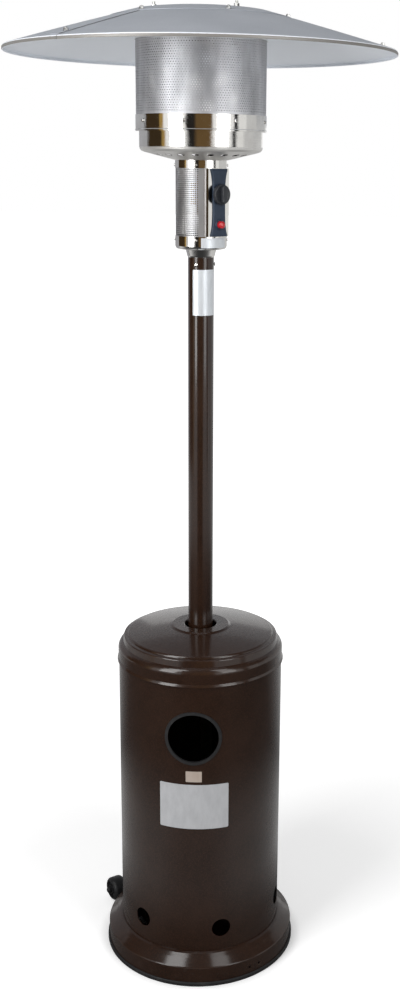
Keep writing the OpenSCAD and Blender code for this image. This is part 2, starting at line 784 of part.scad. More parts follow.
// Outline of the control panel, drawn in by d all round
module panel_outline(d) {
  mid = (panel_z0 + panel_z1) / 2;
  half_h = (panel_z1 - panel_z0) / 2;
  n = 12;
  right = [for (i = [-n:n]) [panel_half(i / n) - d, mid + (half_h - d) * i / n]];
  left = [for (i = [n:-1:-n]) [-panel_half(i / n) + d, mid + (half_h - d) * i / n]];
  polygon(concat(right, left));
}

module control_panel() {
  color(slate) difference() {
    union() {
      front(0) translate([0, 0, panel_back]) linear_extrude(height = panel_depth - 1.5) panel_outline(0);
      front(0) translate([0, 0, panel_back + 1]) linear_extrude(height = panel_depth - 1) panel_outline(1.5);
      front(button_z) translate([0, 0, panel_face - 1]) cylinder(r = button_r + 3.2, h = 3, $fn = 48);
    }
    front(knob_z) cylinder(r = spindle_hole, h = 120, $fn = 48);
    front(button_z) cylinder(r = button_r + run_gap, h = 120, $fn = 48);
  }
}

module control_knob() {
  bore_end = knob_front - 4;
  color(black) front(knob_z) difference() {
    union() {
      translate([0, 0, knob_back]) cylinder(r1 = knob_r, r2 = knob_r - 1.2, h = knob_skirt);
      translate([0, 0, knob_back + knob_skirt - 0.5]) cylinder(r = 0.62 * knob_r, h = 2.5);
      intersection() {
        translate([-0.27 * knob_r, -knob_r, knob_back + knob_skirt - 0.5])
          cube([0.54 * knob_r, 2 * knob_r, knob_grip + 0.5]);
        translate([0, 0, knob_back]) cylinder(r1 = knob_r, r2 = knob_r - 3, h = knob_skirt + knob_grip + 1);
      }
    }
    cylinder(r = spindle_r + run_gap, h = bore_end, $fn = 48);
    translate([-0.9, 0.45 * knob_r, knob_front - 0.8]) cube([1.8, knob_r, 3]);
  }
}

module valve_spindle() {
  color(brass) front(knob_z) translate([0, 0, valve_front - 13])
    cylinder(r = spindle_r, h = knob_front - 5 - valve_front + 13, $fn = 48);
}

module valve_plunger() {
  color(brass) front(knob_z) translate([0, 0, valve_front - 1 - plunger_len]) difference() {
    cylinder(r = plunger_r, h = plunger_len, $fn = 48);
    translate([0, 0, -1]) cylinder(r = spindle_r + run_gap, h = plunger_len + 2, $fn = 48);
  }
}

module gas_valve() {
  plunger_floor = valve_front - 1 - plunger_len - knob_push - 0.6;
  color(brass) difference() {
    union() {
      front(knob_z) translate([-17, -valve_half, -14]) cube([34, 2 * valve_half, valve_body + 14]);
      front(knob_z) translate([0, 0, valve_body - 1])
        cylinder(r = plunger_r + 3, h = valve_front - valve_body + 1, $fn = 48);
      front(knob_z) translate([0, 0, valve_front - 5]) cylinder(r = plunger_r + 6, h = 5, $fn = 6);
      translate([0, 0, inlet_z]) cylinder(r = pipe_r + 4, h = 20, $fn = 48);
      translate([0, 0, outlet_z - 18]) cylinder(r = 10, h = 18, $fn = 48);
    }
    front(knob_z) translate([0, 0, plunger_floor]) cylinder(r = plunger_r + run_gap, h = 60, $fn = 48);
    front(knob_z) translate([0, 0, valve_front - 14 - knob_push])
      cylinder(r = spindle_r + 0.3, h = 60, $fn = 48);
    translate([0, 0, inlet_z - 1]) cylinder(r = pipe_r + run_gap, h = 15.4, $fn = 48);
    translate([0, 0, outlet_z - 14]) cylinder(r = 7, h = 20, $fn = 48);
  }
}

module igniter_button() {
  tip = panel_face + 2 + button_out;
  color(red) front(button_z) {
    translate([0, 0, button_in]) cylinder(r = button_r, h = tip - 1.5 - button_in, $fn = 48);
    translate([0, 0, tip - 1.6]) cylinder(r1 = button_r, r2 = button_r - 1.5, h = 1.6, $fn = 48);
    translate([0, 0, stem_in]) cylinder(r = stem_r, h = button_in - stem_in + 0.5, $fn = 48);
  }
}

module igniter_body() {
  color(black) front(button_z) difference() {
    union() {
      translate([0, 0, igniter_in]) cylinder(r = igniter_r, h = valve_front - igniter_in, $fn = 48);
      translate([0, 0, valve_front - 5]) cylinder(r = igniter_r + 3, h = 5, $fn = 6);
    }
    translate([0, 0, stem_in - button_push - 1]) cylinder(r = stem_r + run_gap, h = 60, $fn = 48);
    translate([0, 0, button_in - button_push - 0.6]) cylinder(r = button_r + 0.4, h = 40, $fn = 48);
  }
}

module tilt_switch() {
  color(black) turned(head_az) {
    translate([-11, 26, foot_plate_z + sheet_gap]) cube([22, 14, 26]);
    translate([-14, 24, foot_plate_z + sheet_gap]) cube([28, 18, 3]);
  }
}

// Burner

module mixing_tube() {
  color(steel) difference() {
    union() {
      translate([0, 0, outlet_z - 13]) cylinder(r = 7 - run_gap, h = 20, $fn = 48);
      translate([0, 0, outlet_z + 2]) cylinder(r = 11, h = 6, $fn = 6);
      translate([0, 0, outlet_z + 6]) cylinder(r = tube_r, h = cup_z + 6 - outlet_z - 6);
    }
    translate([0, 0, outlet_z - 20]) cylinder(r = 1.5, h = 60, $fn = 24);
    translate([0, 0, outlet_z + 8]) cylinder(r = tube_r - 1.5, h = 200);
    for (a = [0:90:270])
      radial(a + 45, outlet_z + 15) translate([0, 0, tube_r - 6]) cylinder(r = 4, h = 12, $fn = 24);
  }
}

module burner_cup() {
  color(dull) spun([
    [cup_r, cup_z + cup_rise + 7], [cup_r, cup_z + cup_rise], [0.6 * cup_r, cup_z + 0.52 * cup_rise],
    [tube_r + 8, cup_z + 4], [tube_r + run_gap + 1, cup_z], [tube_r + run_gap + 1, cup_z - 6]], -1);
}

module burner_gauze() {
  color(dull) difference() {
    translate([0, 0, gauze_z + sheet_gap]) cylinder(r = cup_r + 1, h = 1);
    for (ring = [1:5], i = [0:6 * ring - 1])
      turned(60 * i / ring) translate([0, -ring * cup_r / 5.7, gauze_z - 1])
        cylinder(r = 4, h = 4, $fn = 24);
  }
}

// Path of a lead from the head up through the bowl to the pilot, shifted sideways by u
function lead(u, r0, z0, z1) = [
  [u, -r0, z0], [u, -r0, bowl_z + 18], [u, -pilot_ring, bowl_z + 34], [u, -pilot_ring, z1]];

module pilot_tube() {
  color(brass) turned(head_az) bent(lead(0, 26, knob_z + valve_half + sheet_gap, gauze_z - 12), 2);
}

module pilot_burner() {
  foot_z = bowl_floor(norm([pilot_ring + 7, 16])) + burner_sheet + 0.25;
  color(steel) turned(head_az) difference() {
    union() {
      translate([-16, -pilot_ring - 7, foot_z]) cube([32, 2, gauze_z - foot_z]);
      translate([-16, -pilot_ring - 7, gauze_z - 10]) cube([32, 14, 2]);
      translate([0, -pilot_ring, gauze_z - 12]) cylinder(r = 4.5, h = 22, $fn = 48);
    }
    translate([0, -pilot_ring, gauze_z - 13]) cylinder(r = 2 + run_gap, h = 14, $fn = 48);
    for (u = [-11, 11]) translate([u, -pilot_ring, gauze_z - 20]) cylinder(r = 3.4, h = 40, $fn = 48);
  }
}

module thermocouple() {
  color(dull) turned(head_az) {
    bent(lead(11, 22, knob_z + valve_half + sheet_gap, gauze_z + 14), 1.5);
    translate([11, -pilot_ring, gauze_z - 14]) cylinder(r = 3.3, h = 20, $fn = 48);
  }
}

module spark_electrode() {
  seat = 0.73 * (igniter_r + 0.4);
  color(ivory) turned(head_az) {
    bent([[-seat, -igniter_in - 5, button_z + seat], [-22, -igniter_in - 5, button_z + 22],
      [-22, -igniter_in - 5, bowl_z + 18], [-11, -pilot_ring, bowl_z + 34],
      [-11, -pilot_ring, gauze_z + 16], [-4, -pilot_ring, gauze_z + 20]], 1);
    translate([-11, -pilot_ring, gauze_z - 14]) cylinder(r = 3.3, h = 22, $fn = 48);
  }
}

module burner_bowl() {
  hole_ring_r = (bowl_foot + bowl_r) / 2 + 4;
  corner_z = bowl_floor(bowl_r - 11);
  color(steel) difference() {
    spun([
      [bowl_mouth, bowl_z], [bowl_foot, bowl_z],
      [bowl_r - 11, corner_z], [bowl_r - 5, corner_z + 2.2],
      [bowl_r - 1.4, corner_z + 6], [bowl_r, corner_z + 11],
      [bowl_r, bowl_top - burner_sheet], [screen_r + 0.4, bowl_top - burner_sheet]], burner_sheet);
    for (i = [0:bowl_holes - 1])
      turned(head_az + 360 * (i + 0.5) / bowl_holes)
        translate([0, -hole_ring_r, bowl_z - 5]) cylinder(r = bowl_hole_r, h = bowl_rise + 12, $fn = 32);
  }
}

module burner_band() {
  color(steel) difference() {
    spun([[band_r + 0.8, screen_z0 - 0.1], [band_r + 0.8, screen_z0 + 2],
          [band_r, screen_z0 + 3.2], [band_r, band_top]], burner_sheet);
    band_holes();
  }
}

module band_holes() {
  for (i = [0:band_screw_count - 1])
    radial(head_az - 8 + 360 * i / band_screw_count, screen_z0 + 0.6 * band_h)
      translate([0, 0, screen_r - 8]) cylinder(r = 2, h = 16, $fn = 24);
}

module band_screws() {
  color(steel) for (i = [0:band_screw_count - 1])
    radial(head_az - 8 + 360 * i / band_screw_count, screen_z0 + 0.6 * band_h)
      translate([0, 0, band_r + 0.15]) dome_screw(4, 2.6, 1.8, 7);
}

module emitter_screen() {
  pitch = (screen_h - 14) / screen_rows;
  step = 360 / screen_cols;
  color(dull) difference() {
    tube(screen_r, screen_r - burner_sheet, screen_z0, lid_z - 0.8);
    for (row = [0:screen_rows - 1], col = [0:screen_cols - 1])
      radial((col + (row % 2) / 2) * step, band_top + (row + 0.5) * pitch)
        translate([0, 0, screen_r - 6]) cylinder(r = screen_hole_r, h = 12, $fn = 24);
    band_holes();
  }
}

module emitter_lid() {
  color(steel) difference() {
    spun([[band_r, lid_z - 12], [band_r, lid_top - 1.5], [band_r - 1.5, lid_top], [0, lid_top]],
      burner_sheet);
    stud_holes(stud_r + hole_gap);
  }
}

// Reflector

module stud_holes(r) {
  for (a = [0, 120, 240])
    turned(stud_az + a) translate([0, -stud_circle, lid_z - 20])
      cylinder(r = r, h = reflector_gap + 60, $fn = 32);
}

module reflector_studs() {
  foot = lid_z - 9;
  color(zinc) for (a = [0, 120, 240])
    turned(stud_az + a) translate([0, -stud_circle, foot])
      cylinder(r = stud_r, h = stud_top - foot, $fn = 32);
}

module stud_spacers() {
  color(zinc) for (a = [0, 120, 240])
    turned(stud_az + a) translate([0, -stud_circle, 0])
      tube(stud_r + 4, stud_r + hole_gap, lid_top + sheet_gap, centre_under - sheet_gap);
}

module stud_nuts() {
  bore = stud_r + run_gap;
  color(zinc) for (a = [0, 120, 240]) turned(stud_az + a) translate([0, -stud_circle, 0]) difference() {
    union() {
      translate([0, 0, centre_top + sheet_gap]) cylinder(r = 2.6 * stud_r, h = 1.5, $fn = 48);
      translate([0, 0, centre_top + 1.4]) cylinder(r = 1.9 * stud_r, h = 6, $fn = 6);
      translate([0, 0, lid_z - 6]) cylinder(r = 1.9 * stud_r, h = 6, $fn = 6);
    }
    translate([0, 0, lid_z - 10]) cylinder(r = bore, h = reflector_gap + 60, $fn = 32);
  }
}

// Seats of the reflector's bolts, square to the dish: two on each seam and one amid each panel
module at_bolts() {
  for (a = [0, 120, 240]) {
    for (r = [inner_bolt_r, outer_bolt_r])
      turned(seam_az + a) translate([seam_lap / 2, -r, dish_z(r)]) rotate([dish_tilt, 0, 0]) children();
    turned(seam_az + a + 60) translate([0, -inner_bolt_r, dish_z(inner_bolt_r)])
      rotate([dish_tilt, 0, 0]) children();
  }
}

module seam_holes() {
  at_bolts() translate([0, 0, -12]) cylinder(r = 2.5 + hole_gap, h = 24, $fn = 24);
}

module reflector_centre() {
  bend_r = panel_in - 1;
  slope = [for (i = [4:-1:0]) let (r = bend_r + (centre_r - bend_r) * i / 4) [r, dish_z(r) + lap_up]];
  color(zinc) difference() {
    spun(concat(slope, [[flat_r, centre_top], [0, centre_top]]), reflector_sheet);
    stud_holes(stud_r + hole_gap);
    seam_holes();
  }
}

// Closed outline of a panel: the dish, the rim band and its rolled edge
module panel_section() {
  n = 14;
  dish = [for (i = [0:n]) let (r = panel_in + (dish_r - panel_in) * i / n) [r, dish_z(r) + sheet_gap]];
  band_in = rim_r - reflector_sheet;
  lower = concat(dish, [[band_in, dish_end_z - 2.4], [band_in, dish_end_z - rim_band]]);
  polygon(sheet(lower, reflector_sheet));
  translate([rim_r - bead_r, dish_end_z - rim_band]) circle(r = bead_r, $fn = 24);
}

// Section of a seam's strip, between two heights above the panel's lower side
module strip_section(h0, h1) {
  r0 = centre_r + 3;
  r1 = rim_r - 8;
  n = 12;
  top = [for (i = [0:n]) let (r = r0 + (r1 - r0) * i / n) [r, dish_z(r) + sheet_gap + h1]];
  low = [for (i = [n:-1:0]) let (r = r0 + (r1 - r0) * i / n) [r, dish_z(r) + sheet_gap + h0]];
  polygon(concat(top, low));
}

// One panel from the seam at azimuth a to the next one, with its strip on top of the next panel
module reflector_panel(a) {
  sweep = 120 - 0.06;
  strip_low = lap_up - sheet_gap - reflector_sheet;
  strip_high = lap_up - sheet_gap;
  color(zinc) difference() {
    union() {
      turned(a) rotate([0, 0, -90]) rotate_extrude(angle = sweep) panel_section();
      intersection() {
        turned(a) rotate_extrude(angle = 40) strip_section(0.6 * reflector_sheet, strip_high);
        turned(a + 120) translate([-8, -rim_r, dish_end_z - 50]) cube([7.5, rim_r, dish_drop + 100]);
      }
      intersection() {
        turned(a) rotate_extrude(angle = 40) strip_section(strip_low, strip_high);
        turned(a + 120) translate([-4, -rim_r, dish_end_z - 50])
          cube([4 + seam_lap, rim_r, dish_drop + 100]);
      }
    }
    seam_holes();
  }
}

module reflector_panel_front() {
  reflector_panel(seam_az);
}

module reflector_panel_right() {
  reflector_panel(seam_az + 120);
}

module reflector_panel_left() {
  reflector_panel(seam_az + 240);
}

module seam_bolts() {
  color(zinc) at_bolts() translate([0, 0, lap_up + 0.15]) {
    cylinder(r = 5.5, h = 1, $fn = 48);
    translate([0, 0, 0.9]) cylinder(r = 4.6, h = 3.6, $fn = 6);
    translate([0, 0, -lap_up - 4.5]) cylinder(r = 2.5, h = lap_up + 10.5, $fn = 24);
    translate([0, 0, -lap_up - 3.6]) cylinder(r = 4.4, h = 3.4, $fn = 6);
  }
}

base_pan();
base_edging();
support_leg_right();
support_leg_rear();
support_leg_left();
leg_bolts();
post_plate();
post_flange();
flange_bolts();
post();
gas_pipe();
hose_nipple();
wheel_bracket();
bracket_bolts();
wheel_axle();
axle_spacers();
axle_caps();
wheel_left();
wheel_right();
tank_housing();
hole_edging();
housing_cap();
head_socket();
post_screws();
foot_ring();
guard_screen();
front_plate();
crown_ring();
head_screws();
control_panel();
control_knob();
valve_spindle();
valve_plunger();
gas_valve();
igniter_button();
igniter_body();
tilt_switch();
mixing_tube();
burner_cup();
burner_gauze();
pilot_tube();
pilot_burner();
thermocouple();
spark_electrode();
burner_bowl();
burner_band();
band_screws();
emitter_screen();
emitter_lid();
reflector_studs();
stud_spacers();
stud_nuts();
reflector_centre();
reflector_panel_front();
reflector_panel_right();
reflector_panel_left();
seam_bolts();
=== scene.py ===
# Looks of a gas patio heater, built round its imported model. Metres, Z up, hand hole towards -Y.
# An azimuth is in degrees about Z, from -Y towards +X.
import math
import bmesh
import bpy
from mathutils import Matrix, Vector


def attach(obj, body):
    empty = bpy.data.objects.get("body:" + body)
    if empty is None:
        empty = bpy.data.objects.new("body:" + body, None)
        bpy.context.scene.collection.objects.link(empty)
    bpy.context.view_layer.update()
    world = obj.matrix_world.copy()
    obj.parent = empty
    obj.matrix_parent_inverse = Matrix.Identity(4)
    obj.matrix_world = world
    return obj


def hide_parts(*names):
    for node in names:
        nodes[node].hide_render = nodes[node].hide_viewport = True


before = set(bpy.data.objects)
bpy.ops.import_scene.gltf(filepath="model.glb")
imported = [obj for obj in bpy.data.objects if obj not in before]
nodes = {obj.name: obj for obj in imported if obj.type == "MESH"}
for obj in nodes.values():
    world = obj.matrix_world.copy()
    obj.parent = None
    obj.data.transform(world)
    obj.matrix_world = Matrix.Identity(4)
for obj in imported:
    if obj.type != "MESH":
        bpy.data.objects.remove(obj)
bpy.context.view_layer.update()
scene = bpy.context.scene
MM = 0.001

# Sizes that the new pieces and the finishes share with the solids
HEAD_AZ = 43.0
FRONT_HALF = 31.5
GUARD_R = 54.1 * MM
FOOT_RING_R = 55.3 * MM
SCREEN_R = 136.2 * MM
HOUSING_R = 189.0 * MM
POST_R = 28.0 * MM
PANEL_BACK = 60.0 * MM
PANEL_FACE = 63.5 * MM
PANEL_LOW = 1692.7 * MM
PANEL_HIGH = 1831.6 * MM
PANEL_WAIST = 15.5 * MM
PANEL_FLARE = 7.5 * MM
KNOB_Z = 1779.4 * MM
KNOB_BACK = 68.0 * MM
KNOB_R = 21.5 * MM
SPINDLE_BORE_R = 4.9 * MM
BUTTON_Z = 1717.4 * MM
BUTTON_R = 7.5 * MM
BUTTON_BORE_R = BUTTON_R + 0.1 * MM
RIM_R = 406.5 * MM
CREASE_R = 150.0 * MM
CREASE_Z = 2138.5 * MM
DISH_RUN = 254.0 * MM
DISH_DROP = 72.0 * MM
DISH_BULGE = 1.0 * MM
SEAM_AZ = -38.0
SEAM_LAP = 16.0 * MM
SEAM_START = 190.0 * MM
BOWL_R = 130.2 * MM
BOWL_Z = 1848.6 * MM
BOWL_FOOT = 56.8 * MM
BOWL_WALL = 1874.9 * MM
BOWL_SLOPE = 18.0 / (130.2 - 56.8)
# Lines of the bowl's rounded corner: radius, height and slope of each
BOWL_CORNER = ((119.2 * MM, 1863.9 * MM, 2.2 / 6.0), (125.2 * MM, 1866.1 * MM, 3.8 / 3.6),
               (128.8 * MM, 1869.9 * MM, 5.0 / 1.4))

# Heights where the finishes change: top of the base, of the scuffs and of the heat tint
BASE_TOP = 80.0 * MM
SCUFF_TOP = 120.0 * MM
HEAT_TOP = 2100.0 * MM

# Points of a mesh that lie closer than the first are one point, and the second is rounding error
MERGE_GAP = 1e-7
SLACK = 1e-6


def heading(az):
    """Unit vector that points outwards at an azimuth."""
    a = math.radians(az)
    return Vector((math.sin(a), -math.cos(a), 0.0))


# Node trees, for finishes and for shapes
class Wire:
    """A socket that can be used in sums."""

    def __init__(self, tree, socket):
        self.tree = tree
        self.socket = socket

    def maths(self, operation, first, second=0.0):
        return self.tree.node("ShaderNodeMath", {"operation": operation}, {0: first, 1: second})

    def __add__(self, other):
        return self.maths("ADD", self, other)

    __radd__ = __add__

    def __sub__(self, other):
        return self.maths("SUBTRACT", self, other)

    def __rsub__(self, other):
        return self.maths("SUBTRACT", other, self)

    def __mul__(self, other):
        return self.maths("MULTIPLY", self, other)

    __rmul__ = __mul__

    def __truediv__(self, other):
        return self.maths("DIVIDE", self, other)

    def __rtruediv__(self, other):
        return self.maths("DIVIDE", other, self)

    def __pow__(self, other):
        return self.maths("POWER", self, other)

    def __mod__(self, other):
        return self.maths("FLOORED_MODULO", self, other)

    def floor(self):
        return self.maths("FLOOR", self)

    def sin(self):
        return self.maths("SINE", self)

    def cos(self):
        return self.maths("COSINE", self)

    def most(self, other):
        return self.maths("MAXIMUM", self, other)


class Tree:
    """A node tree that is filled node by node."""

    def __init__(self, tree):
        self.tree = tree

    def node(self, kind, settings=None, sockets=None, out=0):
        """Adds a node: first its settings, then the values or links of its sockets."""
        made = self.tree.nodes.new(kind)
        for name, value in (settings or {}).items():
            setattr(made, name, value)
        for key, value in (sockets or {}).items():
            target = self.socket(made.inputs, key)
            for item in value if isinstance(value, list) else [value]:
                if isinstance(item, Wire):
                    self.tree.links.new(item.socket, target)
                else:
                    target.default_value = item
        return Wire(self, self.socket(made.outputs, out)) if len(made.outputs) else made

    def spread(self, value, low, high, to_low, to_high):
        """Turns low..high into to_low..to_high, and stops at both ends."""
        return self.node("ShaderNodeMapRange", {"clamp": True}, {
            "Value": value, "From Min": low, "From Max": high, "To Min": to_low, "To Max": to_high})

    def rays(self, *kinds):
        """Whether a ray is of each kind, as 1 or 0."""
        return [self.node("ShaderNodeLightPath", out="Is %s Ray" % kind) for kind in kinds]

    @staticmethod
    def socket(sockets, key):
        """A socket by its number, its identifier or its name."""
        if isinstance(key, int):
            return sockets[key]
        for candidate in sockets:
            if candidate.identifier == key:
                return candidate
        return sockets[key]


class Finish(Tree):
    """A material made of nodes on Object coordinates."""

    def __init__(self, name):
        self.material = bpy.data.materials.new(name)
        self.material.use_nodes = True
        super().__init__(self.material.node_tree)
        self.tree.nodes.clear()
        self.place = self.node("ShaderNodeTexCoord", out="Object")

    def split(self):
        """The three coordinates."""
        return [self.node("ShaderNodeSeparateXYZ", None, {0: self.place}, i) for i in range(3)]

    def stretched(self, scale):
        return self.node("ShaderNodeMapping", None, {"Vector": self.place, "Scale": scale})

    def noise(self, scale, detail=2.0, rough=0.5, place=None):
        return self.node("ShaderNodeTexNoise", {"noise_dimensions": "3D"}, {
            "Vector": place or self.place, "Scale": scale, "Detail": detail, "Roughness": rough})

    def cells(self, scale, smooth=0.6):
        return self.node("ShaderNodeTexVoronoi", {"feature": "SMOOTH_F1"}, {
            "Vector": self.place, "Scale": scale, "Smoothness": smooth}, "Distance")

    def mix(self, factor, first, second):
        tint = {"data_type": "RGBA", "clamp_factor": True}
        ends = {"Factor_Float": factor, "A_Color": first, "B_Color": second}
        return self.node("ShaderNodeMix", tint, ends, "Result_Color")

    def bump(self, height, strength, distance):
        return self.node("ShaderNodeBump", None, {
            "Height": height, "Strength": strength, "Distance": distance})

    def surface(self, colour, rough, metal, normal, **others):
        """Ends the material in one shader, whose other sockets are named in small letters."""
        sockets = {"Base Color": colour, "Roughness": rough, "Metallic": metal, "Normal": normal}
        for name, value in others.items():
            sockets[name.replace("_", " ").title().replace("Ior", "IOR")] = value
        shader = self.node("ShaderNodeBsdfPrincipled", None, sockets)
        self.node("ShaderNodeOutputMaterial", None, {"Surface": shader})
        return self.material


def rgb(red, green, blue):
    return (red, green, blue, 1.0)


def hammered_brown():
    """Dark brown hammer paint under a gloss coat, scuffed low down and less glossy on the base."""
    f = Finish("hammered_brown")
    dimples = f.cells(330.0)
    peel = f.noise(120.0, 3.0)
    cloud = f.noise(9.0, 4.0, 0.6)
    patches = f.spread(f.noise(60.0, 5.0, 0.7), 0.58, 0.72, 0.0, 1.0)
    height = f.split()[2]
    scuffs = f.spread(height, 0.0, SCUFF_TOP, 1.0, 0.0) * patches
    tone = f.mix(f.spread(dimples, 0.1, 0.55, 0.0, 1.0),
                 rgb(0.031, 0.0122, 0.0055), rgb(0.015, 0.006, 0.0026))
    tone = f.mix(f.spread(cloud, 0.35, 0.7, 0.0, 0.5), tone, rgb(0.034, 0.0155, 0.009))
    tone = f.mix(scuffs * 0.5, tone, rgb(0.055, 0.040, 0.032))
    rough = f.spread(peel, 0.3, 0.7, 0.40, 0.52) + scuffs * 0.25
    coat = f.spread(height, BASE_TOP, SCUFF_TOP, 0.85, 1.0)
    normal = f.bump(dimples * 0.7 + peel * 0.5, 0.17, 0.8 * MM)
    return f.surface(tone, rough, 0.0, normal, specular_ior_level=0.1,
                     coat_weight=coat, coat_roughness=0.13)


def mirror_steel():
    """Polished stainless sheet with faint turning lines and handling haze."""
    f = Finish("mirror_steel")
    haze = f.noise(16.0, 4.0, 0.6)
    lines = f.noise(1.0, 2.0, 0.5, f.stretched((14.0, 14.0, 2600.0)))
    smudge = f.noise(55.0, 3.0, 0.65)
    tone = f.mix(f.spread(haze, 0.35, 0.7, 0.0, 1.0),
                 rgb(0.80, 0.79, 0.765), rgb(0.72, 0.705, 0.68))
    rough = f.spread(smudge, 0.42, 0.72, 0.045, 0.13) + f.spread(lines, 0.4, 0.7, 0.0, 0.03)
    normal = f.bump(lines * 0.4 + f.noise(26.0, 2.0) * 0.6, 0.05, 1.5 * MM)
    return f.surface(tone, rough, 1.0, normal)


def dull_steel():
    """Plain stainless steel with rolling lines and heat tint near the top."""
    f = Finish("dull_steel")
    lines = f.noise(1.0, 3.0, 0.6, f.stretched((40.0, 40.0, 1500.0)))
    cloud = f.noise(12.0, 4.0, 0.6)
    high = f.spread(f.split()[2], HEAT_TOP - 80.0 * MM, HEAT_TOP, 0.0, 1.0)
    heat = high * f.spread(cloud, 0.35, 0.75, 0.0, 0.6)
    tone = f.mix(f.spread(cloud, 0.3, 0.7, 0.0, 1.0),
                 rgb(0.76, 0.765, 0.785), rgb(0.66, 0.665, 0.69))
    tone = f.mix(heat, tone, rgb(0.56, 0.50, 0.45))
    rough = f.spread(lines, 0.3, 0.7, 0.20, 0.36)
    return f.surface(tone, rough, 1.0, f.bump(lines, 0.10, 0.6 * MM))


def screen_steel():
    """Punched stainless sheet, dull and stained, with heat tint near the top of the drum."""
    f = Finish("screen_steel")
    lines = f.noise(1.0, 3.0, 0.6, f.stretched((40.0, 40.0, 1500.0)))
    cloud = f.noise(12.0, 4.0, 0.6)
    stains = f.noise(1.0, 4.0, 0.6, f.stretched((22.0, 22.0, 5.0)))
    high = f.spread(f.split()[2], HEAT_TOP - 60.0 * MM, HEAT_TOP, 0.0, 1.0)
    heat = high * f.spread(cloud, 0.35, 0.75, 0.0, 0.5)
    tone = f.mix(f.spread(stains, 0.35, 0.65, 0.0, 1.0),
                 rgb(0.72, 0.725, 0.75), rgb(0.48, 0.485, 0.51))
    tone = f.mix(heat, tone, rgb(0.60, 0.55, 0.50))
    rough = f.spread(lines, 0.3, 0.7, 0.52, 0.64)
    return f.surface(tone, rough, 1.0, f.bump(lines, 0.10, 0.6 * MM))


def guard_steel():
    """Slotted stainless sheet of the head's guard, brushed upright and darker than the drum."""
    f = Finish("guard_steel")
    lines = f.noise(1.0, 3.0, 0.6, f.stretched((900.0, 900.0, 12.0)))
    cloud = f.noise(14.0, 4.0, 0.6)
    tone = f.mix(f.spread(cloud, 0.3, 0.7, 0.0, 1.0), rgb(0.49, 0.49, 0.50), rgb(0.39, 0.39, 0.40))
    rough = f.spread(lines, 0.3, 0.7, 0.40, 0.50)
    return f.surface(tone, rough, 1.0, f.bump(lines, 0.06, 0.5 * MM))


def sooty_steel():
    """Burner steel that the flame has blackened in patches."""
    f = Finish("sooty_steel")
    soot = f.spread(f.noise(45.0, 5.0, 0.7), 0.35, 0.65, 0.0, 1.0)
    tone = f.mix(soot, rgb(0.10, 0.085, 0.075), rgb(0.012, 0.011, 0.010))
    rough = f.spread(soot, 0.0, 1.0, 0.42, 0.8)
    return f.surface(tone, rough, 0.4, f.bump(f.noise(400.0, 3.0), 0.15, 0.5 * MM))


def bowl_steel():
    """Burner bowl, polished round its wall, satin below, and sooty inside."""
    f = Finish("bowl_steel")
    x, y, z = f.split()
    reach = (x * x + y * y) ** 0.5
    outside = (reach - BOWL_FOOT) * BOWL_SLOPE + BOWL_Z
    for near, foot, rise in BOWL_CORNER:
        outside = outside.most((reach - near) * rise + foot)
    outside = outside + f.spread(reach, BOWL_R - 12.0 * MM, BOWL_R - 11.0 * MM, 0.0, 0.5 * MM)
    above_floor = f.spread(z - outside, 0.1 * MM, 0.3 * MM, 0.0, 1.0)
    in_wall = f.spread(reach, BOWL_R - 0.7 * MM, BOWL_R - 0.4 * MM, 1.0, 0.0)
    inside = above_floor * in_wall
    haze = f.noise(16.0, 4.0, 0.6)
    smudge = f.noise(55.0, 3.0, 0.65)
    lines = f.noise(1.0, 2.0, 0.5, f.stretched((14.0, 14.0, 2600.0)))
    tone = f.mix(f.spread(haze, 0.35, 0.7, 0.0, 1.0),
                 rgb(0.80, 0.79, 0.765), rgb(0.70, 0.685, 0.66))
    tone = f.mix(inside, tone, rgb(0.014, 0.012, 0.011))
    under_wall = f.spread(z, BOWL_WALL - 1.5 * MM, BOWL_WALL + 0.5 * MM, 1.0, 0.0)
    satin = under_wall * (1.0 - inside)
    rough = f.spread(smudge, 0.42, 0.72, 0.05, 0.13) + inside * 0.6 + satin * 0.34
    metal = 1.0 - inside * 0.6 - satin * 0.2
    return f.surface(tone, rough, metal, f.bump(lines, 0.05, 1.2 * MM))


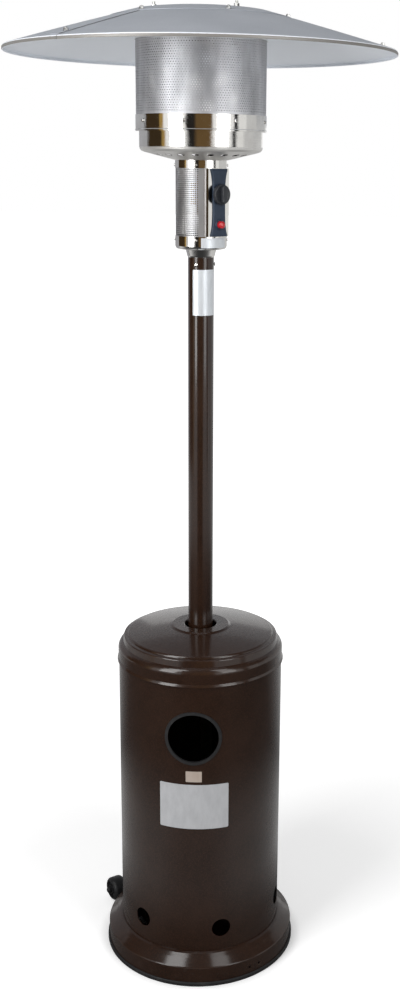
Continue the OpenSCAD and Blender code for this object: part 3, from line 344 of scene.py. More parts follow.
def satin_aluminium():
    """Rolled aluminium sheet, satin above, with its underside painted brighter as light from below,
    its rim darkened as painted shade and painted shadow lines along the seam laps.
    """
    f = Finish("satin_aluminium")
    grain = f.noise(1.0, 3.0, 0.6, f.stretched((900.0, 30.0, 30.0)))
    cloud = f.noise(5.0, 4.0, 0.6)
    marks = f.spread(f.noise(38.0, 6.0, 0.75), 0.60, 0.78, 0.0, 1.0)
    x, y, z = f.split()
    reach = (x * x + y * y) ** 0.5
    run = (reach - CREASE_R) / DISH_RUN
    dish = CREASE_Z - run * DISH_DROP + run * (1.0 - run) * (4.0 * DISH_BULGE)
    past_plate = f.spread(run, -0.021, -0.019, 0.0, 1.0)
    # Painted light: the dish's underside is made brighter and less metallic, standing in for light
    # from below
    below = f.spread(z - dish, 0.4 * MM, 0.9 * MM, 1.0, 0.0) * past_plate
    # Painted shade: the rolled rim is darkened
    rim = f.spread(reach, RIM_R - 0.9 * MM, RIM_R - 0.5 * MM, 0.0, 1.0)
    # Painted shadow: a dark line along the edge of each seam lap, where the lapped panel's edge
    # casts shade
    seam_shadow = 0.0
    for turn in (0, 120, 240):
        out = heading(SEAM_AZ + turn)
        across = x * -out.y + y * out.x - SEAM_LAP
        on_seam = f.spread(x * out.x + y * out.y, SEAM_START, SEAM_START + 10.0 * MM, 0.0, 1.0)
        near = f.spread(across, -0.2 * MM, 0.1 * MM, 0.0, 1.0)
        far = f.spread(across, 1.0 * MM, 2.6 * MM, 1.0, 0.0)
        seam_shadow = on_seam * near * far + seam_shadow
    tone = f.mix(f.spread(cloud, 0.3, 0.7, 0.0, 1.0),
                 rgb(0.52, 0.545, 0.59), rgb(0.46, 0.485, 0.53))
    tone = f.mix(marks * 0.35, tone, rgb(0.38, 0.39, 0.41))
    # Painted light: brighter underside
    tone = f.mix(below, tone, rgb(0.87, 0.905, 0.955))
    # Painted shade: darker rim
    tone = f.mix(rim, tone, rgb(0.24, 0.23, 0.215))
    # Painted shadow along the seam laps
    tone = f.mix(seam_shadow * 0.75, tone, rgb(0.10, 0.10, 0.105))
    rough = (f.spread(grain, 0.3, 0.7, 0.54, 0.64) + marks * 0.08) * (1.0 - rim * 0.25)
    normal = f.bump(grain * 0.5 + cloud * 0.5, 0.06, 1.0 * MM)
    return f.surface(tone, rough, 0.55 + rim * 0.15 - below * 0.40, normal)


def zinc_plate(name, bright, spangled, stained, rough_low, rough_high):
    """Zinc plating with spangle and a little dulling."""
    f = Finish(name)
    spangle = f.cells(420.0, 0.2)
    cloud = f.noise(140.0, 4.0, 0.6)
    tone = f.mix(f.spread(spangle, 0.1, 0.6, 0.0, 1.0), bright, spangled)
    tone = f.mix(f.spread(cloud, 0.55, 0.8, 0.0, 0.6), tone, stained)
    rough = f.spread(cloud, 0.3, 0.7, rough_low, rough_high)
    return f.surface(tone, rough, 1.0, f.bump(cloud, 0.08, 0.4 * MM))


def soft_rubber():
    """Matt black rubber with a fine grain and pale dust."""
    f = Finish("soft_rubber")
    grain = f.noise(1400.0, 2.0)
    dust = f.spread(f.noise(34.0, 5.0, 0.7), 0.52, 0.75, 0.0, 1.0)
    tone = f.mix(dust * 0.5, rgb(0.014, 0.014, 0.015), rgb(0.05, 0.047, 0.043))
    rough = f.spread(grain, 0.3, 0.7, 0.55, 0.75)
    return f.surface(tone, rough, 0.0, f.bump(grain, 0.25, 0.4 * MM),
                     specular_ior_level=0.35)


def moulded(name, base, worn, rough_low, rough_high, gloss=0.0, shine=0.5):
    """Moulded plastic with spark grain and rubbed patches."""
    f = Finish(name)
    grain = f.cells(1500.0, 0.4)
    rub = f.spread(f.noise(70.0, 5.0, 0.7), 0.5, 0.74, 0.0, 1.0)
    tone = f.mix(rub * 0.6, base, worn)
    rough = f.spread(grain, 0.1, 0.6, rough_low, rough_high) - rub * 0.06
    return f.surface(tone, rough, 0.0, f.bump(grain, 0.12, 0.3 * MM),
                     specular_ior_level=shine, coat_weight=gloss, coat_roughness=0.08)


def plain_brass():
    """Turned brass, a little tarnished."""
    f = Finish("plain_brass")
    cloud = f.noise(120.0, 4.0, 0.6)
    lines = f.noise(1.0, 2.0, 0.5, f.stretched((80.0, 80.0, 3000.0)))
    tone = f.mix(f.spread(cloud, 0.35, 0.7, 0.0, 1.0),
                 rgb(0.66, 0.47, 0.17), rgb(0.40, 0.27, 0.10))
    rough = f.spread(lines, 0.3, 0.7, 0.18, 0.34)
    return f.surface(tone, rough, 1.0, f.bump(lines, 0.08, 0.4 * MM))


def ivory_ceramic():
    """Unglazed insulator, slightly stained."""
    f = Finish("ivory_ceramic")
    stain = f.spread(f.noise(180.0, 5.0, 0.7), 0.48, 0.75, 0.0, 1.0)
    tone = f.mix(stain, rgb(0.74, 0.70, 0.62), rgb(0.48, 0.42, 0.34))
    rough = f.spread(stain, 0.0, 1.0, 0.5, 0.7)
    return f.surface(tone, rough, 0.0, f.bump(f.noise(900.0), 0.2, 0.3 * MM))


def label_foil(name, base, creased, metal):
    """Stuck-on foil with shallow creases and a rubbed face."""
    f = Finish(name)
    crease = f.noise(1.0, 4.0, 0.6, f.stretched((60.0, 60.0, 25.0)))
    rub = f.noise(260.0, 4.0, 0.65)
    tone = f.mix(f.spread(crease, 0.4, 0.75, 0.0, 0.8), base, creased)
    tone = f.mix(f.spread(rub, 0.6, 0.8, 0.0, 0.4), tone, creased)
    rough = f.spread(rub, 0.3, 0.7, 0.28, 0.44)
    return f.surface(tone, rough, metal, f.bump(crease, 0.12, 1.0 * MM))


brown_paint = hammered_brown()
polished = mirror_steel()
dull = dull_steel()
punched = screen_steel()
slotted = guard_steel()
sooty = sooty_steel()
bowl_finish = bowl_steel()
aluminium = satin_aluminium()
zinc = zinc_plate("zinc_plate", rgb(0.66, 0.66, 0.65), rgb(0.50, 0.50, 0.48),
                  rgb(0.36, 0.35, 0.33), 0.20, 0.36)
# Darker, rougher copy of the zinc for the legs inside the housing: the darker tone is painted
# shade, the higher roughness a duller plating
dull_shaded_zinc = zinc_plate("dull_shaded_zinc", rgb(0.27, 0.27, 0.265), rgb(0.19, 0.19, 0.185),
                       rgb(0.13, 0.125, 0.12), 0.46, 0.62)
rubber = soft_rubber()
black_plastic = moulded("black_plastic", rgb(0.012, 0.012, 0.013), rgb(0.035, 0.036, 0.039),
                        0.36, 0.52, shine=0.3)
knob_plastic = moulded("knob_plastic", rgb(0.022, 0.024, 0.029), rgb(0.045, 0.048, 0.055),
                       0.26, 0.4)
slate_plastic = moulded("slate_plastic", rgb(0.016, 0.031, 0.060), rgb(0.030, 0.046, 0.078),
                        0.38, 0.54)
red_plastic = moulded("red_plastic", rgb(0.52, 0.014, 0.022), rgb(0.62, 0.05, 0.05),
                      0.16, 0.26, gloss=0.5)
brass = plain_brass()
ceramic = ivory_ceramic()
silver_foil = label_foil("silver_foil", rgb(0.54, 0.545, 0.56), rgb(0.44, 0.445, 0.46), 0.25)
white_foil = label_foil("white_foil", rgb(0.72, 0.755, 0.79), rgb(0.60, 0.63, 0.66), 0.3)
sticker_paper = label_foil("sticker_paper", rgb(0.42, 0.35, 0.30), rgb(0.36, 0.29, 0.24), 0.0)

worn_by = {
    brown_paint: ["base_pan", "tank_housing", "housing_cap", "post"],
    rubber: ["base_edging", "hole_edging"],
    black_plastic: ["wheel_left", "wheel_right", "axle_caps", "igniter_body", "tilt_switch"],
    polished: ["head_socket", "foot_ring", "front_plate", "crown_ring", "burner_band",
               "emitter_lid", "head_screws", "band_screws", "post_screws"],
    punched: ["emitter_screen"],
    slotted: ["guard_screen"],
    dull: ["valve_spindle"],
    sooty: ["burner_cup", "burner_gauze", "mixing_tube", "pilot_burner", "thermocouple"],
    bowl_finish: ["burner_bowl"],
    aluminium: ["reflector_centre", "reflector_panel_front", "reflector_panel_right",
                "reflector_panel_left", "stud_spacers"],
    # The legs inside the housing take the zinc darkened as painted shade
    dull_shaded_zinc: ["support_leg_right", "support_leg_rear", "support_leg_left"],
    zinc: ["leg_bolts", "post_plate", "post_flange", "flange_bolts", "gas_pipe", "wheel_bracket",
           "bracket_bolts", "wheel_axle", "axle_spacers", "reflector_studs", "stud_nuts",
           "seam_bolts"],
    brass: ["hose_nipple", "gas_valve", "valve_plunger", "pilot_tube"],
    ceramic: ["spark_electrode"],
    slate_plastic: ["control_panel"],
    knob_plastic: ["control_knob"],
    red_plastic: ["igniter_button"],
}
for finish, names in worn_by.items():
    for name in names:
        nodes[name].data.materials.clear()
        nodes[name].data.materials.append(finish)


# Pieces
def piece(name, mesh, body, stands_for=()):
    """Puts a finished mesh on its body."""
    made = bpy.data.objects.new(name, mesh)
    scene.collection.objects.link(made)
    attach(made, body)
    if stands_for:
        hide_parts(*stands_for)


def mesh_of(bm, name, finish=None, smooth=True):
    """A mesh from a bmesh that is then freed, with a finish unless a later step gives one."""
    mesh = bpy.data.meshes.new(name)
    for face in bm.faces:
        face.smooth = smooth
    bm.to_mesh(mesh)
    bm.free()
    if finish:
        mesh.materials.append(finish)
    return mesh


def evaluated_mesh(holder):
    """The plain mesh that an object's modifiers make of it."""
    bpy.context.view_layer.update()
    evaluated = holder.evaluated_get(bpy.context.evaluated_depsgraph_get())
    return bpy.data.meshes.new_from_object(evaluated)


# Perforated sheets, unrolled: x along the arc, y out of the sheet, z up
def perforated_sheet_tree():
    """Shape tree that tiles a cell over an unrolled sheet and rolls it into a drum."""
    group = bpy.data.node_groups.new("perforated_sheet", "GeometryNodeTree")
    tree = Tree(group)
    inputs = {"Margins": "Geometry", "Cell": "Object", "Columns": "Int", "Rows": "Int",
              "Cell Width": "Float", "Cell Height": "Float", "Stagger": "Float",
              "First Row": "Float", "Radius": "Float", "Start Angle": "Float",
              "Finish": "Material"}
    for name, kind in inputs.items():
        group.interface.new_socket(name, in_out="INPUT", socket_type="NodeSocket" + kind)
    group.interface.new_socket("Sheet", in_out="OUTPUT", socket_type="NodeSocketGeometry")

    def given(name):
        return tree.node("NodeGroupInput", out=name)

    def geometry(kind, **sockets):
        return tree.node("GeometryNode" + kind, None, sockets)

    index = geometry("InputIndex")
    row = (index / given("Columns")).floor()
    column = index - row * given("Columns")
    along = (column + 0.5 + (row % 2.0) * given("Stagger")) * given("Cell Width")
    height = given("First Row") + (row + 0.5) * given("Cell Height")
    spot = tree.node("ShaderNodeCombineXYZ", None, {"X": along, "Z": height})
    points = geometry("Points", Count=given("Columns") * given("Rows"), Position=spot)
    cell = tree.node("GeometryNodeObjectInfo", None, {"Object": given("Cell")}, "Geometry")
    tiles = geometry("InstanceOnPoints", Points=points, Instance=cell)
    tiles = geometry("RealizeInstances", Geometry=tiles)
    flat = geometry("JoinGeometry", Geometry=[tiles, given("Margins")])
    where = geometry("InputPosition")
    x, y, z = (tree.node("ShaderNodeSeparateXYZ", None, {0: where}, i) for i in range(3))
    angle = given("Start Angle") + x / given("Radius")
    reach = given("Radius") + y
    rolled = tree.node("ShaderNodeCombineXYZ", None, {
        "X": reach * angle.sin(), "Y": 0.0 - reach * angle.cos(), "Z": z})
    drum = geometry("SetPosition", Geometry=flat, Position=rolled)
    drum = geometry("MergeByDistance", Geometry=drum, Distance=0.02 * MM)
    drum = geometry("RealizeInstances", Geometry=drum)
    drum = geometry("SetMaterial", Geometry=drum, Material=given("Finish"))
    tree.node("NodeGroupOutput", None, {"Sheet": drum})
    return group


def quad(bm, *corners):
    """A face on points of its own. Doubles are merged once the sheet is whole."""
    bm.faces.new([bm.verts.new(c) for c in corners])


def cell_object(name, width, height, wall, opening):
    """One tile of a sheet with an opening of six corners. Its sides stay open for the next tile."""
    edge = [(0, height / 2), (width / 2, height / 2), (width / 2, -height / 2),
            (0, -height / 2), (-width / 2, -height / 2), (-width / 2, height / 2)]
    bm = bmesh.new()
    for i in range(6):
        j = (i + 1) % 6
        (ax, az), (bx, bz) = edge[i], edge[j]
        (cx, cz), (dx, dz) = opening[j], opening[i]
        quad(bm, (ax, 0, az), (bx, 0, bz), (cx, 0, cz), (dx, 0, dz))
        quad(bm, (dx, -wall, dz), (cx, -wall, cz), (bx, -wall, bz), (ax, -wall, az))
        quad(bm, (dx, 0, dz), (cx, 0, cz), (cx, -wall, cz), (dx, -wall, dz))
    bmesh.ops.remove_doubles(bm, verts=bm.verts, dist=MERGE_GAP)
    return bpy.data.objects.new(name, mesh_of(bm, name, smooth=False))


def margin_mesh(name, xs, zs, wall, kept, ends):
    """Plain parts of a sheet: the grid squares that kept(i, j) names, with free edges closed."""
    bm = bmesh.new()
    last_x, last_z = len(xs) - 2, len(zs) - 2
    for i in range(last_x + 1):
        for j in range(last_z + 1):
            if not kept(i, j):
                continue
            a, b, lo, hi = xs[i], xs[i + 1], zs[j], zs[j + 1]
            quad(bm, (a, 0, hi), (b, 0, hi), (b, 0, lo), (a, 0, lo))
            quad(bm, (a, -wall, lo), (b, -wall, lo), (b, -wall, hi), (a, -wall, hi))
            if j == 0:
                quad(bm, (a, 0, lo), (b, 0, lo), (b, -wall, lo), (a, -wall, lo))
            if j == last_z:
                quad(bm, (b, 0, hi), (a, 0, hi), (a, -wall, hi), (b, -wall, hi))
            if ends and i == 0:
                quad(bm, (a, 0, hi), (a, 0, lo), (a, -wall, lo), (a, -wall, hi))
            if ends and i == last_x:
                quad(bm, (b, 0, lo), (b, 0, hi), (b, -wall, hi), (b, -wall, lo))
    bmesh.ops.remove_doubles(bm, verts=bm.verts, dist=MERGE_GAP)
    return mesh_of(bm, name, smooth=False)


def rolled_sheet(name, tree, margins, cell, values):
    """The mesh that the shape tree makes of a sheet's margins and tiles."""
    holder = bpy.data.objects.new(name + "_flat", margins)
    scene.collection.objects.link(holder)
    scene.collection.objects.link(cell)
    modifier = holder.modifiers.new("sheet", "NODES")
    modifier.node_group = tree
    wanted = dict(values, Cell=cell)
    for item in tree.interface.items_tree:
        if item.in_out == "INPUT" and item.name in wanted:
            modifier[item.identifier] = wanted[item.name]
    mesh = evaluated_mesh(holder)
    mesh.name = name
    for spare in (holder, cell):
        bpy.data.objects.remove(spare)
    return mesh


sheet_tree = perforated_sheet_tree()


def emitter_screen():
    """The drum's screen: staggered six-sided perforations between a plain foot and top edge."""
    columns, rows, wall, hole = 152, 31, 0.9 * MM, 1.35 * MM
    foot, first, last, top = 1906.8 * MM, 1943.0 * MM, 2093.3 * MM, 2098.0 * MM
    width = 2 * math.pi * SCREEN_R / columns
    height = (last - first) / rows
    turns = [math.radians(60 * i) for i in range(6)]
    opening = [(hole * math.sin(t), hole * math.cos(t)) for t in turns]
    cell = cell_object("screen_cell", width, height, wall, opening)
    xs = [i * width / 2 for i in range(2 * columns + 1)]
    zs = [foot, first, last, top]
    margins = margin_mesh("screen_margins", xs, zs, wall, lambda i, j: j != 1, False)
    mesh = rolled_sheet("emitter_screen_perforated", sheet_tree, margins, cell, {
        "Columns": columns, "Rows": rows, "Cell Width": width, "Cell Height": height,
        "Stagger": 0.5, "First Row": first, "Radius": SCREEN_R, "Start Angle": 0.0,
        "Finish": punched})
    piece("emitter_screen_perforated", mesh, "stand", ["emitter_screen"])


def guard_screen():
    """The head's round guard: rows of short slots between plain edges, open at the flat front."""
    columns, rows, wall = 56, 34, 0.8 * MM
    low, first, last, top = 1684.9 * MM, 1692.7 * MM, 1831.6 * MM, 1839.4 * MM
    margin = math.radians(12.0) * GUARD_R
    span = math.radians(360 - 2 * FRONT_HALF) * GUARD_R
    width = (span - 2 * margin) / columns
    height = (last - first) / rows
    long, tall = 0.38 * width, 0.23 * height
    opening = [(0, tall), (long, tall), (long, -tall), (0, -tall), (-long, -tall), (-long, tall)]
    cell = cell_object("guard_cell", width, height, wall, opening)
    start = math.radians(HEAD_AZ + FRONT_HALF)
    tiled = [margin + i * width / 2 for i in range(2 * columns + 1)]
    xs = [0.0, margin / 2] + tiled + [span - margin / 2, span]
    zs = [low] + [first + i * height for i in range(rows + 1)] + [top]

    def plain(i, j):
        return j in (0, rows + 1) or i < 2 or i >= len(xs) - 3

    margins = margin_mesh("guard_margins", xs, zs, wall, plain, True)
    for vertex in margins.vertices:
        vertex.co.x -= margin
    mesh = rolled_sheet("guard_screen_slotted", sheet_tree, margins, cell, {
        "Columns": columns, "Rows": rows, "Cell Width": width, "Cell Height": height,
        "Stagger": 0.0, "First Row": first, "Radius": GUARD_R,
        "Start Angle": start + margin / GUARD_R, "Finish": slotted})
    piece("guard_screen_slotted", mesh, "stand", ["guard_screen"])


emitter_screen()
guard_screen()


# Control pieces, built along +Z with +Y up and then set on the head's front
def on_front(z):
    """Places a thing on the head's front direction at a height, with its own +Z outwards."""
    out = heading(HEAD_AZ)
    right = Vector((0, 0, 1)).cross(out)
    turn = Matrix((right, Vector((0, 0, 1)), out)).transposed().to_4x4()
    return Matrix.Translation((0, 0, z)) @ turn


def lathe(bm, profile, segments=64):
    """Adds the solid of revolution of (radius, height) points that start and end on the axis."""
    turns = [2 * math.pi * i / segments for i in range(segments)]
    rings = []
    for radius, height in profile:
        if radius == 0.0:
            rings.append([bm.verts.new((0, 0, height))])
        else:
            rings.append([bm.verts.new((radius * math.cos(t), radius * math.sin(t), height))
                          for t in turns])
    made = []
    for a, b in zip(rings, rings[1:]):
        for i in range(segments):
            j = (i + 1) % segments
            corners = [a[i % len(a)], a[j % len(a)], b[j % len(b)], b[i % len(b)]]
            made.append(bm.faces.new(list(dict.fromkeys(corners))))
    bmesh.ops.recalc_face_normals(bm, faces=made)


def collar(bm, outline, place, segments=48):
    """Adds the ring that a closed outline of (radius, height) points sweeps, moved by a matrix."""
    rings = []
    for i in range(segments):
        t = 2 * math.pi * i / segments
        rings.append([bm.verts.new(place @ Vector((r * math.cos(t), r * math.sin(t), h)))
                      for r, h in outline])
    made = []
    for a, b in zip(rings, rings[1:] + rings[:1]):
        for i in range(len(outline)):
            j = (i + 1) % len(outline)
            made.append(bm.faces.new((a[i], b[i], b[j], a[j])))
    bmesh.ops.recalc_face_normals(bm, faces=made)


def round_corner(centre, radius, start, end, steps):
    """Points of an arc in a profile, by angles in degrees."""
    angles = [math.radians(start + (end - start) * i / steps) for i in range(steps + 1)]
    return [(centre[0] + radius * math.cos(a), centre[1] + radius * math.sin(a)) for a in angles]


def rounded_block(bm, size, place, corner, edge):
    """Adds a block whose upright corners and upper edges are rounded."""
    made = bmesh.ops.create_cube(bm, size=1.0)["verts"]
    for vertex in made:
        vertex.co = Vector(a * b for a, b in zip(vertex.co, size)) + Vector(place)
    edges = {e for v in made for e in v.link_edges}
    upright = [e for e in edges if abs(e.verts[0].co.z - e.verts[1].co.z) > SLACK]
    bmesh.ops.bevel(bm, geom=upright, offset=corner, segments=6, affect="EDGES", profile=0.5)
    top = place[2] + size[2] / 2

    def on_top(co):
        return (abs(co.z - top) < MERGE_GAP and abs(co.x) <= size[0] / 2 + SLACK
                and abs(co.y) <= size[1] / 2 + SLACK)

    near = [e for e in bm.edges if all(on_top(v.co) for v in e.verts)]
    rim = [e for e in near if any(abs(f.normal.z) < 0.5 for f in e.link_faces)]
    bmesh.ops.bevel(bm, geom=rim, offset=edge, segments=4, affect="EDGES", profile=0.5)


def control_knob():
    """Round skirt with a dished face and a grip bar."""
    skirt = KNOB_BACK + 6.5 * MM
    front = skirt + 7.0 * MM
    heel, brow, draft, dish = 0.8 * MM, 1.6 * MM, 1.0 * MM, 1.9 * MM
    grip_wide, grip_long, grip_deep = 10.6 * MM, 36.5 * MM, 9.0 * MM
    grip_corner, grip_edge = 4.6 * MM, 1.3 * MM
    bm = bmesh.new()
    lathe(bm, [(0.0, KNOB_BACK), (KNOB_R - heel, KNOB_BACK)]
          + round_corner((KNOB_R - heel, KNOB_BACK + heel), heel, -72, 0, 3)
          + round_corner((KNOB_R - draft - brow, skirt - brow), brow, 8, 100, 6)
          + [(KNOB_R - 4.2 * MM, skirt - 0.2 * MM), (KNOB_R - 8.5 * MM, skirt - dish),
             (0.0, skirt - dish)])
    rounded_block(bm, (grip_wide, grip_long, grip_deep), (0, 0, front - grip_deep / 2),
                  grip_corner, grip_edge)
    bm.transform(on_front(KNOB_Z))
    mesh = mesh_of(bm, "control_knob_moulded", knob_plastic)
    mesh.set_sharp_from_angle(angle=math.radians(40))
    piece("control_knob_moulded", mesh, "knob", ["control_knob"])


def igniter_button():
    """Domed red cap on its stem."""
    tip, cap_back, stem_back = PANEL_FACE + 13.0 * MM, PANEL_FACE - 6.5 * MM, 28.0 * MM
    stem, brow, dome = 0.62 * BUTTON_R, 3.4 * MM, 1.0 * MM
    bm = bmesh.new()
    lathe(bm, [(0.0, stem_back), (stem, stem_back), (stem, cap_back), (BUTTON_R, cap_back)]
          + round_corner((BUTTON_R - brow, tip - brow - dome), brow, 0, 60, 6)
          + [(BUTTON_R - 3.6 * MM, tip - 0.45 * MM), (BUTTON_R - 5.4 * MM, tip - 0.05 * MM),
             (0.0, tip)], 48)
    bm.transform(on_front(BUTTON_Z))
    mesh = mesh_of(bm, "igniter_button_domed", red_plastic)
    mesh.set_sharp_from_angle(angle=math.radians(40))
    piece("igniter_button_domed", mesh, "button", ["igniter_button"])


def panel_blank(half_height):
    """The waisted panel before it is bored: soft side edges, rounded ends and a crowned face."""
    rows, columns, end_edge, crown = 40, 12, 1.6 * MM, 0.45 * MM
    side = [(-1.0, 0.0), (-1.0, 0.55), (-0.985, 0.8), (-0.955, 0.94), (-0.9, 1.0)]
    face = [(-0.9 + 1.8 * i / columns, 1.0) for i in range(1, columns)]
    section = side + face + [(-x, z) for x, z in reversed(side)]
    bm = bmesh.new()
    loops = []
    for i in range(rows + 1):
        s = -1.0 + 2.0 * i / rows
        inward = min(1.0, (1.0 - abs(s)) * half_height / end_edge)
        fall = 1.0 - math.sqrt(max(0.0, 1.0 - (1.0 - inward) ** 2))
        wide = PANEL_WAIST + PANEL_FLARE * s ** 4 - fall * 0.9 * MM
        deep = (PANEL_FACE - PANEL_BACK) * (1.0 - 0.35 * fall) - crown * s * s
        loops.append([bm.verts.new((x * wide, s * half_height, PANEL_BACK + z * deep))
                      for x, z in section])
    for a, b in zip(loops, loops[1:]):
        for i in range(len(section)):
            j = (i + 1) % len(section)
            bm.faces.new((a[i], b[i], b[j], a[j]))
    bm.faces.new(loops[0])
    bm.faces.new(list(reversed(loops[-1])))
    bmesh.ops.recalc_face_normals(bm, faces=bm.faces)
    return mesh_of(bm, "panel_blank", slate_plastic)


def bored(blank, bores):
    """The mesh of a blank with round bores through it, each a (height, radius)."""
    body = bpy.data.objects.new("panel_blank", blank)
    scene.collection.objects.link(body)
    back, front = PANEL_BACK - 10.0 * MM, PANEL_FACE + 20.0 * MM
    spares = [body]
    for y, radius in bores:
        bm = bmesh.new()
        lathe(bm, [(0.0, back), (radius, back), (radius, front), (0.0, front)], 48)
        bm.transform(Matrix.Translation((0, y, 0)))
        cutter = bpy.data.objects.new("panel_bore", mesh_of(bm, "panel_bore", slate_plastic))
        scene.collection.objects.link(cutter)
        cut = body.modifiers.new("bore", "BOOLEAN")
        cut.operation, cut.object, cut.solver = "DIFFERENCE", cutter, "EXACT"
        spares.append(cutter)
    mesh = evaluated_mesh(body)
    for spare in spares:
        bpy.data.objects.remove(spare)
    return mesh


def control_panel():
    """Waisted panel, bored for the spindle and the button, with a collar round the button."""
    middle = (PANEL_LOW + PANEL_HIGH) / 2
    knob_up, button_up = KNOB_Z - middle, BUTTON_Z - middle
    bm = bmesh.new()
    bm.from_mesh(bored(panel_blank((PANEL_HIGH - PANEL_LOW) / 2),
                       ((knob_up, SPINDLE_BORE_R), (button_up, BUTTON_BORE_R))))
    foot, lip, wall = PANEL_FACE - 1.0 * MM, PANEL_FACE + 2.0 * MM, BUTTON_R + 3.2 * MM
    flange, flange_deep, outer_round, inner_round = 0.8 * MM, 0.9 * MM, 1.0 * MM, 0.7 * MM
    outline = [(BUTTON_BORE_R, foot), (wall + flange, foot), (wall + flange, foot + flange_deep)] \
        + round_corner((wall - outer_round, lip - outer_round), outer_round, 10, 90, 4) \
        + round_corner((BUTTON_BORE_R + inner_round, lip - inner_round), inner_round, 90, 180, 3)
    collar(bm, outline, Matrix.Translation((0, button_up, 0)))
    bm.transform(on_front(middle))
    mesh = mesh_of(bm, "control_panel_moulded", slate_plastic)
    mesh.set_sharp_from_angle(angle=math.radians(38))
    piece("control_panel_moulded", mesh, "stand", ["control_panel"])


control_knob()
igniter_button()
control_panel()


# Stuck-on labels, all bare
def curved_label(name, body, radius, azimuths, heights, corner, finish):
    """A thin sheet with round corners that follows a cylinder."""
    lift, thick, corner_steps, steps = 0.12 * MM, 0.16 * MM, 6, 28
    left, right = (math.radians(az) * radius for az in azimuths)
    low, high = heights
    turns = [corner * (1 - math.cos(math.radians(90 * i / corner_steps)))
             for i in range(corner_steps + 1)]
    middle = [left + corner + (right - left - 2 * corner) * i / steps for i in range(1, steps)]
    stations = [left + t for t in turns] + middle + [right - t for t in reversed(turns)]
    bm = bmesh.new()
    loops = []
    for x in stations:
        near = min(x - left, right - x)
        cut = 0.0 if near >= corner else corner - math.sqrt(corner ** 2 - (corner - near) ** 2)
        out = heading(math.degrees(x / radius))
        ring = [(lift + thick, high - cut), (lift + thick, low + cut),
                (lift, low + cut), (lift, high - cut)]
        loops.append([bm.verts.new(out * (radius + reach) + Vector((0, 0, z)))
                      for reach, z in ring])
    for a, b in zip(loops, loops[1:]):
        for i in range(4):
            j = (i + 1) % 4
            bm.faces.new((a[i], a[j], b[j], b[i]))
    bm.faces.new(reversed(loops[0]))
    bm.faces.new(loops[-1])
    bmesh.ops.recalc_face_normals(bm, faces=bm.faces)
    piece(name, mesh_of(bm, name, finish, False), body)


curved_label("rating_label_bare", "housing", HOUSING_R, (-23.6, 24.6), (0.384, 0.4935), 3.0 * MM,
             silver_foil)
curved_label("small_sticker_bare", "housing", HOUSING_R, (-5.0, 6.0), (0.5005, 0.5265), 1.5 * MM,
             sticker_paper)
curved_label("post_label_bare", "stand", POST_R, (-34.0, 130.0), (1.523, 1.621), 2.0 * MM,
             white_foil)
curved_label("foot_ring_label_bare", "stand", FOOT_RING_R, (5.0, 70.0), (1.6685, 1.6895), 1.0 * MM,
             white_foil)


# Camera at the photo's place: angles in radians, lengths in metres, the rest in pixels
CAMERA_TURN = 5.0
pitch, yaw, roll = 0.2542, 0.0493, 0.0137
distance, eye_height, focal = 2.7661, 1.8544, 1265.35
frame_w, frame_h, centre_x, centre_y = 400, 989, 261.12, 486.81
level = math.cos(pitch)
ahead = Vector((math.sin(yaw) * level, math.cos(yaw) * level, -math.sin(pitch)))
side = Vector((math.cos(yaw), -math.sin(yaw), 0.0))
above = side.cross(ahead)
rolled_side = math.cos(roll) * side + math.sin(roll) * above
rolled_up = math.cos(roll) * above - math.sin(roll) * side
look = Matrix((rolled_side, rolled_up, -ahead)).transposed().to_4x4()
lens = bpy.data.cameras.new("photo_camera")
lens.sensor_width = 36.0
lens.lens = focal * lens.sensor_width / frame_h
lens.shift_x = (frame_w / 2 - centre_x) / frame_h
lens.shift_y = (centre_y - frame_h / 2) / frame_h
lens.clip_end = 100.0
camera = bpy.data.objects.new("photo_camera", lens)
camera.matrix_world = (Matrix.Rotation(math.radians(CAMERA_TURN), 4, "Z")
                       @ Matrix.Translation((0.0, -distance, eye_height)) @ look)
scene.collection.objects.link(camera)
scene.camera = camera


# Studio: white surround, pale floor, two soft boxes, and cards that only reflections see
WHITE = rgb(1, 1, 1)


def studio_world(fill):
    """Even surround that is white to the eye and fades to a dark ceiling in reflections."""
    world = bpy.data.worlds.new("studio")
    world.use_nodes = True
    world.node_tree.nodes.clear()
    tree = Tree(world.node_tree)
    seen, mirrored, through = tree.rays("Camera", "Glossy", "Transmission")
    way = tree.node("ShaderNodeTexCoord", out="Generated")
    height = tree.node("ShaderNodeSeparateXYZ", None, {0: way}, 2)
    ceiling = tree.spread(height, 0.35, 0.65, 1.0, 0.04)
    shown = seen.most(mirrored * ceiling).most(through)
    strength = fill + (shown - fill) * seen.most(mirrored).most(through)
    light = tree.node("ShaderNodeBackground", None, {"Color": WHITE, "Strength": strength})
    tree.node("ShaderNodeOutputWorld", None, {"Surface": light})
    scene.world = world


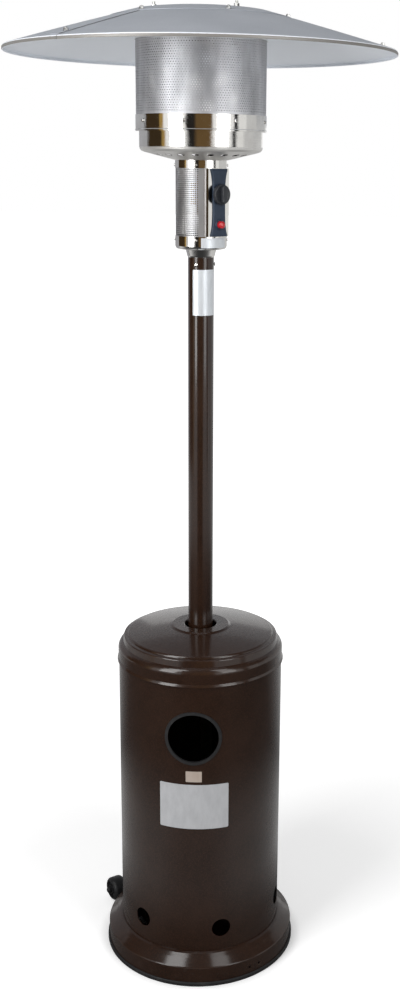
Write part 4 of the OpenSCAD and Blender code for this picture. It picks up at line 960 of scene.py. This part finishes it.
def pale_floor(size, colour, glow):
    """Floor that keeps the shadow, fades to white around it, and is a lit studio in reflections."""
    mesh = bpy.data.meshes.new("floor")
    corners = [(-size, -size, 0), (size, -size, 0), (size, size, 0), (-size, size, 0)]
    mesh.from_pydata(corners, [], [(0, 1, 2, 3)])
    floor = bpy.data.objects.new("floor", mesh)
    scene.collection.objects.link(floor)
    f = Finish("pale_floor")
    seen, mirrored = f.rays("Camera", "Glossy")
    x, y, _ = f.split()
    reach = (x * x + y * y) ** 0.5
    sideways = x * x / (reach * reach)
    clear = f.spread(reach, 0.20, 0.25, 0.0, glow) + f.spread(reach, 0.6, 2.2, 0.0, 0.9 - glow)
    near_light = f.spread(reach, 0.35, 0.55, 0.1, 0.39) - f.spread(reach, 0.85, 1.25, 0.0, 0.33)
    near_light = near_light * f.spread(sideways, 0.05, 0.55, 0.70, 1.12)
    side_light = f.spread(sideways, 0.10, 0.20, 0.0, 0.65) * f.spread(reach, 2.8, 3.5, 0.0, 1.0)
    back_light = f.spread(y, 0.3, 2.0, 0.0, 0.55)
    studio = near_light.most(side_light.most(back_light))
    matt = f.node("ShaderNodeBsdfDiffuse", None, {"Color": colour})
    shine = f.node("ShaderNodeEmission", None, {"Color": WHITE, "Strength": seen * clear})
    both = f.node("ShaderNodeAddShader", None, {0: matt, 1: shine})
    card = f.node("ShaderNodeEmission", None, {"Color": WHITE, "Strength": studio})
    shown = f.node("ShaderNodeMixShader", None, {0: mirrored, 1: both, 2: card})
    f.node("ShaderNodeOutputMaterial", None, {"Surface": shown})
    mesh.materials.append(f.material)


def soft_box(name, az, width, watts, foot=(2.7, 0.95), top=(1.5, 4.2)):
    """A tall soft box that leans over the heater, its foot and top given as (distance, height)."""
    lamp = bpy.data.lights.new(name, "AREA")
    lamp.shape = "RECTANGLE"
    lamp.size, lamp.size_y, lamp.energy = width, math.dist(foot, top), watts
    made = bpy.data.objects.new(name, lamp)
    out = heading(CAMERA_TURN + az)
    low, high = (out * reach + Vector((0, 0, height)) for reach, height in (foot, top))
    made.location = (low + high) / 2
    inwards = (high - low).cross(Vector((0, 0, 1)).cross(out))
    made.rotation_euler = inwards.to_track_quat("-Z", "Y").to_euler()
    scene.collection.objects.link(made)


def reflection_card(name, azimuths, heights, colour, reach=3.6):
    """An upright curved card that only reflections see."""
    steps = 8
    start, end = azimuths
    rail = [heading(CAMERA_TURN + start + (end - start) * i / steps) * reach
            for i in range(steps + 1)]
    points = [p + Vector((0, 0, z)) for p in rail for z in heights]
    mesh = bpy.data.meshes.new(name)
    faces = [(2 * i, 2 * i + 2, 2 * i + 3, 2 * i + 1) for i in range(steps)]
    mesh.from_pydata(points, [], faces)
    card = bpy.data.objects.new(name, mesh)
    scene.collection.objects.link(card)
    f = Finish(name)
    glow = f.node("ShaderNodeEmission", None, {"Color": rgb(*colour), "Strength": 1.0})
    f.node("ShaderNodeOutputMaterial", None, {"Surface": glow})
    mesh.materials.append(f.material)
    card.visible_camera = False
    card.visible_diffuse = False
    card.visible_shadow = False
    card.visible_transmission = False


studio_world(0.36)
pale_floor(40.0, rgb(0.9, 0.9, 0.9), 0.4)
soft_box("left_soft_box", -44, 0.95, 60.0)
soft_box("right_soft_box", 38, 0.85, 26.0)
AROUND, ABOVE = (0.3, 3.4), (2.3, 4.6)
reflection_card("card_far_left", (-170, -116), AROUND, (0.40, 0.40, 0.42))
reflection_card("card_left", (-116, -76), AROUND, (0.045, 0.029, 0.014))
reflection_card("card_gold", (-76, -68), AROUND, (0.40, 0.26, 0.08))
reflection_card("card_middle_dark", (-25, -10), AROUND, (0.02, 0.018, 0.016))
reflection_card("card_middle_brown", (-10, 19), AROUND, (0.14, 0.085, 0.035))
reflection_card("card_right", (58, 66), AROUND, (0.015, 0.015, 0.018))
reflection_card("card_near_right", (66, 84), AROUND, (0.86, 0.86, 0.85))
reflection_card("card_far_right", (84, 150), AROUND, (0.62, 0.62, 0.62))
reflection_card("card_high_left", (-116, -68), ABOVE, (0.05, 0.05, 0.05), 3.5)
reflection_card("card_high_right", (58, 116), ABOVE, (0.05, 0.05, 0.05), 3.5)
reflection_card("card_behind_low", (110, 250), (2.0, 2.9), (0.45, 0.46, 0.48))
reflection_card("card_behind_high", (110, 250), (2.9, 6.0), (0.26, 0.27, 0.29))

scene.view_settings.view_transform = "Standard"
